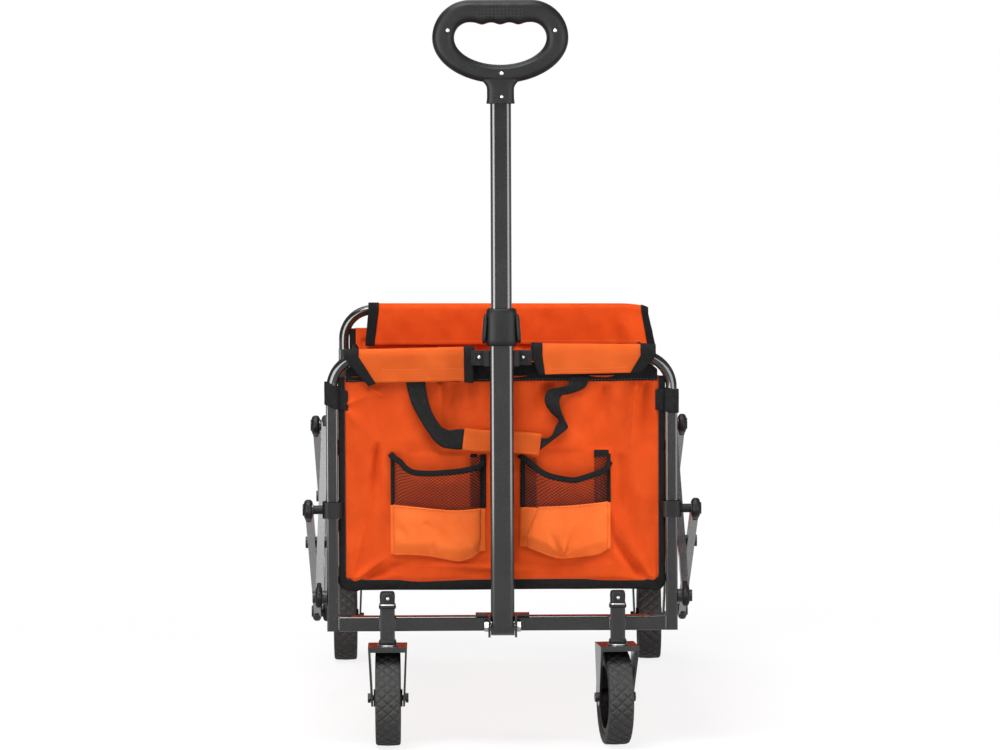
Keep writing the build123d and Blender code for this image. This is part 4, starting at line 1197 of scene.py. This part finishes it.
# %% [markdown]
# The ring grip's outer edge is a flat top, two round shoulders and half an ellipse. The hole follows
# the same plan at a smaller size, with three finger bumps on its upper edge. A curve drawn by hand
# could trace them, but then the two outlines would not keep step with each other.

# %% Outlines of the grip
FINGERS, FINGER_W = (-24.5, 0.0, 24.5), 7.5


def loop_outline(half, shoulder, belly, bumps, count=240):
    """Flat top, quarter circle, quarter ellipse, as x and z, then the same mirrored back up."""
    part = np.linspace(0, 8, count, endpoint=False)
    one = np.minimum(part, 8 - part)
    bend, low = (one - 1) * np.pi / 2, (one - 2) * np.pi / 4
    flat, stage = half - shoulder, [one < 1, one < 2]
    x = np.select(stage, [flat * one, flat + shoulder * np.sin(bend)], half * np.cos(low))
    z = np.select(stage, [shoulder + 0 * one, shoulder * np.cos(bend)], -belly * np.sin(low))
    x = np.where(part > 4, -x, x)
    z = z - bumps * (z > 0) * sum(bell(x - middle, FINGER_W) for middle in FINGERS)
    return np.stack([x, z], axis=1)


def signed_power(value, power):
    """The value's size to a power, with its sign kept."""
    return np.sign(value) * np.abs(value) ** power


outside = loop_outline(91.5, 51.0, 61.0, 0.0)
inside = loop_outline(62.0, 21.0, 36.0, 3.2)
print("grip", np.ptp(outside, axis=0), "hole", np.round(np.ptp(inside, axis=0), 1))

# %% [markdown]
# The grip is moulded in two halves that are screwed together, with a neck that sockets the pole and
# rows of raised dots on its front. A bevelled plate would be too flat. Points with the same share of
# both outlines face each other, and a squarish oval between them makes the ring's rounded section.

# %% Ring grip
GRIP_TOP = span("grip")[1][2]
WAIST = GRIP_TOP - 51.0
NECK_FOOT, NECK_TOP = GRIP_TOP - 139.0, GRIP_TOP - 100.0
RING_DEEP = 15.0
DOT_PITCH, DOT_SIZE = (5.1, 4.6), (1.5, 1.3, 1.5)
angle = np.arange(36) * 2 * np.pi / 36
out_share, deep_share = signed_power(np.cos(angle), 0.78), signed_power(np.sin(angle), 0.68)
flatten = 1.0 - 0.06 * bell(out_share, 0.55)
ring = ((outside + inside) / 2)[:, None] + ((outside - inside) / 2)[:, None] * out_share[:, None]
ring_y = POLE_Y - RING_DEEP * deep_share * flatten
grip = Skin("ring_grip")
grip.grid(xyz(ring[..., 0], ring_y, ring[..., 1] + WAIST), NYLON, ring=True, loop=True)
neck_z = np.linspace(NECK_FOOT, NECK_TOP, 30)
flare = ease((neck_z - (GRIP_TOP - 122)) / 22) ** 1.6
foot = bell(neck_z - NECK_FOOT, 5.0)
neck_w, neck_d = 36.4 + 26 * flare + 1.6 * foot, 29.0 - 3.0 * flare + 0.6 * foot
grip.solid(stacked(oval(1.0, 1.0, 40, 4.6), neck_w, neck_d, 0.0, POLE_Y, neck_z), NYLON)
dot_x, dot_z = np.meshgrid(np.arange(13) - 6.0, np.arange(4) - 1.5)
dot_x, dot_z = dot_x * DOT_PITCH[0] - 1, GRIP_TOP - 14.5 + dot_z * DOT_PITCH[1]
dots = xyz(dot_x, POLE_Y - 13.8, dot_z).reshape(-1, 3)
# The dots wear the lighter wheel polymer, not the nylon: painted highlight, standing for the light
# caught on each raised dot.
grip.scatter(LENS, LENS_FACES, dots, np.broadcast_to(np.diag(DOT_SIZE), (len(dots), 3, 3)), TREAD)
seam_y = np.linspace(POLE_Y - 14.4, POLE_Y - 14.0, 14)
seam_z = np.linspace(GRIP_TOP - 5, GRIP_TOP - 25, 14)
grip.solid(sweep(xyz(-0.8, seam_y, seam_z), oval(0.9, 0.5, 8), AHEAD), NYLON)
grip.piece("handle_slide", "black_plastic", replaces=["grip"])
print("grip dots", len(dots))

# %% [markdown]
# Small fasteners catch the eye because they are bright: the grip's four screws, the clip's two and
# the rivets of the stem caps. Each is turned: a low dome in a shallow dished rim. Ribs stiffen the
# clip's ears on both sides of its screws.

# %% Screws, rivets and clip ribs
DOME = np.array([(0.2, 1.0), (1.6, 0.9), (2.9, 0.5), (3.4, -0.2), (3.5, -1.2)])
RIM = np.array([(3.6, -1.4), (3.7, 0.1), (4.3, 0.7), (5.0, 0.4), (5.3, -1.4)])
GRIP_SCREWS = ((-70.5, 40.5), (73.5, 41.0), (1.5, 98.0), (1.5, 129.5))
CLIP_RIB = oval(1.7, 2.0, 12, 3.4)


def screw(skin, place, size=1.0, rim=True):
    """Dome and rim turned about the line toward the viewer's end."""
    skin.solid(turned(DOME * size, place, AHEAD), ZINC)
    if rim:
        skin.solid(turned(RIM * size, place, AHEAD), NYLON)


screws = Skin("grip_screws")
for x, drop in GRIP_SCREWS:
    screw(screws, (x, POLE_Y - 13.9, GRIP_TOP - drop), 0.85)
screws.piece("handle_slide", "zinc_steel")

clip_face = POLE_Y + 12.3
fasteners = Skin("clip_screws")
for x in (-30.0, 29.0):
    screw(fasteners, (x, clip_face - 0.4, BAR_Z - 1.0), 0.75)
fasteners.piece("front_frame", "zinc_steel")
clip_low, clip_high = span("handle_clip")
rib_z = np.linspace(clip_low[2] + 0.8, clip_high[2] - 2.5, 9)
ribs = Skin("clip_ribs")
for x in (-39.4, -36.0, -21.5, 21.0, 36.0, 39.4):
    ribs.solid(sweep(xyz(x, clip_face - 0.2, rib_z), CLIP_RIB, AHEAD), NYLON)
ribs.piece("front_frame", "black_plastic")
print("screws on a face at", round(clip_face, 1), "mm")

# %% [markdown]
# A moulded cap closes each caster stem: a skirt, a bright washer pinched above it, and a body with
# rounded edges and one rivet. A rubber seal sits at the stem's foot, and a bright washer under it
# turns with the fork. All are squarish ovals stacked upward, or turned rings.

# %% Stem caps, seals and washers
stem_low, stem_high = span("caster_stems")
STEM_X, STEM_Y = stem_high[0] - 10.0, depth_of("caster_stems")
CAP_BODY = (
    (0.0, 20.6), (0.3, 22.6), (1.2, 23.4), (3.6, 23.4), (4.6, 22.0), (4.9, 20.4),
    (6.4, 20.0), (16.0, 20.8), (19.0, 20.4), (21.4, 19.0), (22.7, 16.0), (23.0, 11.0),
)
CAP_RING = ((4.6, 21.0), (4.7, 22.2), (5.4, 22.4), (6.1, 22.0), (6.2, 20.6))
SEAL = ((0.5, 21.0), (0.8, 22.8), (2.0, 24.0), (4.4, 23.6), (5.6, 22.2), (6.0, 20.6))
WASHER = ((12.0, 0.1), (13.4, 0.1), (14.0, 0.5), (14.0, 1.2), (13.4, 1.6), (12.0, 1.6))
SQUARE = oval(1.0, 1.0, 40, 5.0)


def square_stack(steps, x, z):
    """Squarish ovals stacked upward round a stem: each step is a height and a width."""
    height, wide = np.transpose(steps)
    return stacked(SQUARE, wide, wide, x, STEM_Y, z + height)


caps, rings = Skin("stem_cap_bodies"), Skin("stem_cap_rings")
for x in (-STEM_X, STEM_X):
    caps.solid(square_stack(CAP_BODY, x, stem_high[2]), NYLON)
    caps.solid(square_stack(SEAL, x, stem_low[2]), NYLON)
    rings.solid(square_stack(CAP_RING, x, stem_high[2]), ZINC)
    screw(rings, (x + 0.6, STEM_Y - 10.0, stem_high[2] + 14.0), 0.72, False)
caps.piece("front_frame", "black_plastic", replaces=["stem_caps"])
rings.piece("front_frame", "zinc_steel")
for side, x in (("left", -STEM_X), ("right", STEM_X)):
    washer = turned(WASHER, (x, STEM_Y, stem_low[2] - 1.8), UPWARD, 40)
    Skin(f"swivel_washer_{side}").solid(washer, ZINC).piece(f"caster_{side}", "zinc_steel")
print("stem caps at", round(STEM_X, 1), "mm")

# %% [markdown]
# The collar where the pole telescopes is a tapered block with a thumb pad let into each side. Its
# sections are squarish ovals that widen toward the foot, rolled in at both ends.

# %% Pole collar
COLLAR_W, COLLAR_D, TAPER = 43.5, 35.6, 2.0
PAD_HALF, PAD_X, PAD_RISE = 20.0, 22.4, 22.5
collar_low, collar_high = span("pole_collar")
height = collar_high[2] - collar_low[2]
ends = np.array([0.0, 0.4, 1.4, 3.2, 6.0])
rise = np.concatenate([ends, np.linspace(9, height - 7, 18), height - ends[3::-1]])
roll = np.sqrt(np.clip(np.minimum(rise, height - rise) / 6.0, 0, 1))
wide = (COLLAR_W - TAPER * rise / height) * (0.88 + 0.12 * roll)
deep = (COLLAR_D - TAPER * rise / height) * (0.86 + 0.14 * roll)
collar = Skin("telescope_collar")
collar.solid(stacked(oval(1.0, 1.0, 64, 3.2), wide, deep, 0.0, POLE_Y, rise + collar_low[2]), NYLON)
pad_z = np.linspace(-PAD_HALF, PAD_HALF, 33)
swell = np.sqrt(np.clip(1 - (pad_z / (PAD_HALF + 0.1)) ** 6, 0, 1))
pad_w, pad_d = 6.0 * swell + 0.3 + 0.3 * np.cos(pad_z * 1.35), 25.0 * swell + 0.5
for sign in (-1, 1):
    pad_x, pad_up = sign * (PAD_X - 0.075 * pad_z), pad_z + collar_low[2] + PAD_RISE
    collar.solid(stacked(oval(1.0, 1.0, 28, 3.0), pad_w, pad_d, pad_x, POLE_Y - 2.0, pad_up), NYLON)
collar.piece("handle", "black_plastic", sharp=55, replaces=["pole_collar"])
print("collar", round(height, 1), "mm tall")

# %% [markdown]
# The wheels have a moulded polymer tread of crossed grooves that leave diamonds. The tyre is a
# surface over the wheel's angle and a profile across its width. Two families of slanting lines cut
# grooves into the crown and fade out on the shoulders.

# %% Grooved tyres
JOINTS = {joint["name"]: joint for joint in frame["record"]["behaviour"]["joints"]}
SIDE_WALL = np.array([
    (15.0, 49.2), (16.2, 51.0), (16.8, 54.0), (17.0, 57.5),
    (17.0, 60.6), (16.7, 62.4), (15.8, 63.6), (14.2, 64.3),
])
WHEEL_R, RIM_R = 65.0, 49.0
TREAD_LINES, TREAD_SLANT, GROOVE_W, GROOVE_DEEP = 14, 5.1, 0.3, 1.9


def tyre(name, end, side):
    """Profile turned about the axle, less grooves where either slanted wave nears zero."""
    joint = JOINTS[f"{end}_wheel_spin_{side}"]
    place, axle = np.array(joint["pos_m"]) / MM, unit(np.array(joint["axis"], float))
    crown_x = np.linspace(13.0, -13.0, 31)
    crown = np.stack([crown_x, WHEEL_R - 0.003 * crown_x**2], axis=1)
    inner = np.stack([np.linspace(-14.0, 14.0, 5), np.full(5, RIM_R)], axis=1)
    profile = np.concatenate([SIDE_WALL, crown, SIDE_WALL[::-1] * (-1, 1), inner])
    angle = np.linspace(0, 2 * np.pi, 300, endpoint=False)
    across, radius = profile[:, :1], profile[:, 1:]
    slanted = (np.sin(TREAD_LINES * angle + sign * across / TREAD_SLANT) for sign in (1, -1))
    groove = np.maximum(*(bell(np.abs(wave), GROOVE_W) for wave in slanted))
    grooved = radius - GROOVE_DEEP * groove * ease((radius - 60.5) / 2.5)
    forward = unit(np.cross(UPWARD, axle))
    spokes = np.cos(angle)[:, None] * forward + np.sin(angle)[:, None] * UPWARD
    points = place + across[:, :, None] * axle + grooved[:, :, None] * spokes[None]
    skin = Skin(name).grid(points, TREAD, ring=True, loop=True)
    return skin.piece(f"{end}_wheel_{side}", "wheel_tread", replaces=[f"{end}_{side}_tyre"])


for end in ("front", "rear"):
    for side in ("left", "right"):
        tread = tyre(f"{end}_{side}_tread", end, side)
print("tread faces", len(tread.data.polygons))

# %% [markdown]
# Every end of a scissor bar wears a black bulb of nylon. The bulb is a loft along the bar: round at
# its tip, full round the pin and drawn in to a lip where the bar leaves it. On the inner face it
# stays almost flush, because another bar or the post runs close by.

# %% Bulbs on the bar ends
BULB_AT = np.array([-13.6, -13.2, -12.0, -9.5, -6.0, -1.0, 4.0, 9.0, 13.0, 16.0, 18.0, 19.5, 20.0])
BULB_WIDE = np.array([2.0, 5.2, 8.4, 11.2, 12.8, 13.4, 13.0, 12.0, 11.3, 11.2, 11.6, 11.5, 11.0])
BULB_DEEP = np.array([0.3, 0.5, 0.66, 0.82, 0.94, 1.0, 0.98, 0.9, 0.82, 0.78, 0.8, 0.78, 0.7])
BULB_RING = oval(2.0, 2.0, 28, 3.0)
OUTER_BAR_X = 260
BULB_PROUD, BULB_FLUSH = 3.0, 0.8


def bar_bulb(skin, end, far, inner, outer):
    """Loft from the tip along the bar: squarish ovals of changing width and depth."""
    run = unit(far - end)
    side = np.array((0.0, -run[2], run[1]))
    spine = end + BULB_AT[:, None] * run
    points = spine[:, None] + BULB_WIDE[:, None, None] * BULB_RING[None, :, :1] * side
    deep = (abs(outer - inner) / 2 * BULB_DEEP)[:, None, None]
    points = points + deep * BULB_RING[None, :, 1:] * ACROSS
    points[:, :, 0] += (outer + inner) / 2
    skin.solid(points, NYLON)


AT = {name: np.array(joint["pos_m"]) / MM for name, joint in JOINTS.items() if "pos_m" in joint}
MID_TOP = AT["front_lift_turn"]
MID_FOOT = np.array((0.0, MID_TOP[1], AT["rear_slider_level"][2] + AT["fold"][2] - MID_TOP[2]))
BAR_ENDS = {
    "rear_lift": (AT["fold"], MID_TOP),
    "front_lift": (AT["front_frame_level"], MID_TOP),
    "rear_cross": (AT["rear_slider_level"], MID_FOOT),
    "front_cross": (AT["front_slider_level"], MID_FOOT),
}
for body, (start, stop) in BAR_ENDS.items():
    bulbs = Skin(f"{body}_bulbs")
    for side, sign in (("left", -1), ("right", 1)):
        near, far = sorted((corner[0] for corner in span(f"{body}_bar_{side}")), key=abs)
        proud = BULB_PROUD if abs(far) > OUTER_BAR_X else BULB_FLUSH
        for end, other in ((start, stop), (stop, start)):
            bar_bulb(bulbs, end, other, near - sign * BULB_FLUSH, far + sign * proud)
    bulbs.piece(body, "black_plastic")
print("bulbs on", len(BAR_ENDS), "pairs of bars")

# %% [markdown]
# The lower tube is welded between the posts, and the caster stems are welded to its face. A weld is
# a bead of small overlapping scallops: a round profile whose radius swells and shrinks along the
# joint.

# %% Weld beads
WELD_UP = unit(np.array((0.2, -0.9, 0.3)))
POST_FACE, STEM_FACE = 8.6, 10.0


def bead(skin, start, stop, radius=2.0):
    """Round profile along a joint; its radius follows the size of a sine, one scallop each 3 mm."""
    path = even_steps([start, stop], 0.75)
    swell = 0.72 + 0.28 * np.abs(np.sin(np.arange(len(path)) * 0.785))
    tip = np.sqrt(np.clip(1 - np.linspace(-1, 1, len(path)) ** 8, 0.05, 1))
    ring = oval(2 * radius, 2 * radius, 10)
    ahead, side, up = path_axes(path, WELD_UP)
    size = (swell * tip)[:, None, None]
    points = path[:, None] + size * (ring[None, :, :1] * side[:, None] + ring[None, :, 1:] * up[:, None])
    skin.solid(points, PAINT)


cross_low, cross_high = span("front_cross_tube")
for end, y in (("front", FRONT_Y), ("rear", REAR_Y)):
    welds = Skin(f"{end}_welds")
    for x in (cross_low[0], cross_high[0]):
        for face in (y - POST_FACE, y + POST_FACE):
            bead(welds, (x, face, cross_low[2] + 1), (x, face, cross_high[2] - 0.5))
        bead(welds, (x, y - 7, cross_high[2]), (x, y + 7, cross_high[2]), 1.8)
    if end == "front":
        for x in (stem + edge for stem in (-STEM_X, STEM_X) for edge in (-STEM_FACE, STEM_FACE)):
            face = cross_low[1] - 0.3
            bead(welds, (x, face, cross_low[2] + 1.5), (x, face, cross_high[2] - 1.5), 2.2)
    welds.piece(f"{end}_frame", "frame_steel")
print("welded tube from", round(cross_low[0]), "to", round(cross_high[0]), "mm")

# %% [markdown]
# The wagon stands on a white sweep that shows only its shadow. More light would whiten a floor too,
# but would bleach the cloth. Instead, the floor's material gives each kind of ray its own look: white
# to the camera and through the net, dimmer in reflections, and plain to the light.

# %% Pale floor
FLOOR_SIZE = 40.0
SHADOW_SHARE, FLOOR_SHINE = 0.16, 0.6
WHITE = (1, 1, 1, 1)


def by_ray(finish, shown, looks):
    """Mix shaders in turn: each kind of ray sees its own look, and other rays what was shown."""
    for kind, look in looks:
        ray = finish.node("ShaderNodeLightPath", {}, {}, kind)
        shown = finish.node("ShaderNodeMixShader", {}, {0: ray, 1: shown, 2: look})
    return shown


def pale_floor():
    """White to the camera, less a share of shadow that fades out away; dimmer in reflections."""
    finish = Finish("studio_floor", base_color=(0.9, 0.9, 0.9, 1), roughness=0.9)
    plain = Wire(finish, finish.shader.outputs[0])
    glow = finish.node("ShaderNodeEmission", {}, {"Color": WHITE, "Strength": 1.0})
    far = finish.node("ShaderNodeVectorMath", {"operation": "LENGTH"}, {0: finish.place()}, "Value")
    share = (1 - far.step(0.6, 1.5)) * SHADOW_SHARE
    mixed = finish.node("ShaderNodeMixShader", {}, {0: share, 1: glow, 2: plain})
    mirrored = finish.node("ShaderNodeEmission", {}, {"Color": WHITE, "Strength": FLOOR_SHINE})
    looks = (("Is Glossy Ray", mirrored), ("Is Transmission Ray", glow), ("Is Camera Ray", mixed))
    finish.plug(finish.tree.nodes["Material Output"].inputs["Surface"], by_ray(finish, plain, looks))
    return finish.material


half = FLOOR_SIZE / 2
corners = [(-half, -half, 0), (half, -half, 0), (half, half, 0), (-half, half, 0)]
floor_mesh = bpy.data.meshes.new("studio_floor")
floor_mesh.from_pydata(corners, [], [(0, 1, 2, 3)])
floor_mesh.materials.append(pale_floor())
floor = bpy.data.objects.new("studio_floor", floor_mesh)
bpy.context.scene.collection.objects.link(floor)
print("floor", FLOOR_SIZE, "m wide")

# %% [markdown]
# Soft boxes at the sides, in front and above light the cloth. One strong lamp would be simpler, but
# its shadows would be hard. Two broad cards that only shiny surfaces see draw the pale lines down
# both edges of the pole.

# %% Soft boxes
AIM, CARD_AIM = (0.0, -0.2, 0.45), (0.0, -0.47, 0.75)


def soft_box(name, place, aim, size, power, lights=True, shines=True):
    """A lamp panel turned toward its aim; it may light only, or only be mirrored."""
    lamp = bpy.data.lights.new(name, "AREA")
    lamp.shape = "RECTANGLE"
    lamp.size, lamp.size_y = size
    lamp.energy = power
    box = bpy.data.objects.new(name, lamp)
    bpy.context.scene.collection.objects.link(box)
    box.visible_camera = False
    box.visible_diffuse = lights
    box.visible_glossy = shines
    box.location = place
    box.rotation_euler = (Vector(aim) - Vector(place)).to_track_quat("-Z", "Y").to_euler()


soft_box("left_strip", (-2.4, -1.7, 1.0), AIM, (1.0, 2.6), 17.0, shines=False)
soft_box("right_strip", (2.6, -1.25, 1.0), AIM, (1.3, 2.6), 64.0, shines=False)
soft_box("high_key", (-0.5, -1.6, 3.1), AIM, (1.5, 1.5), 102.0)
soft_box("top_fill", (-0.6, 0.6, 3.2), AIM, (2.4, 2.4), 46.0)
soft_box("left_card", (-1.62, -2.63, 0.75), CARD_AIM, (2.3, 1.9), 108.0, lights=False)
soft_box("right_card", (1.62, -2.63, 0.75), CARD_AIM, (2.3, 1.9), 64.0, lights=False)

# %% [markdown]
# The air round the wagon is white to the camera and dim as light, so that the background stays white
# while colours look as they are written. A white wall would need a place and an edge, and the world
# has neither. It uses the same switch by kind of ray as the floor.

# %% White air
AIR_LIGHT, AIR_SHINE = 0.17, 0.16


class Air(Finish):
    """The world's node tree, with a finish's way of adding nodes."""

    def __init__(self, world):
        world.use_nodes = True
        self.tree = world.node_tree
        self.shader = self.tree.nodes["Background"]


world = bpy.data.worlds.new("studio_air")
air = Air(world)
air.set("Color", WHITE)
air.set("Strength", AIR_LIGHT)
strengths = {"Is Glossy Ray": AIR_SHINE, "Is Transmission Ray": 1.0, "Is Camera Ray": 1.0}
looks = [
    (kind, air.node("ShaderNodeBackground", {}, {"Color": WHITE, "Strength": strength}))
    for kind, strength in strengths.items()
]
shown = by_ray(air, Wire(air, air.shader.outputs[0]), looks)
air.plug(air.tree.nodes["World Output"].inputs["Surface"], shown)
bpy.context.scene.world = world
bpy.context.scene.view_settings.view_transform = "Standard"
print("air nodes", len(air.tree.nodes))

# %% [markdown]
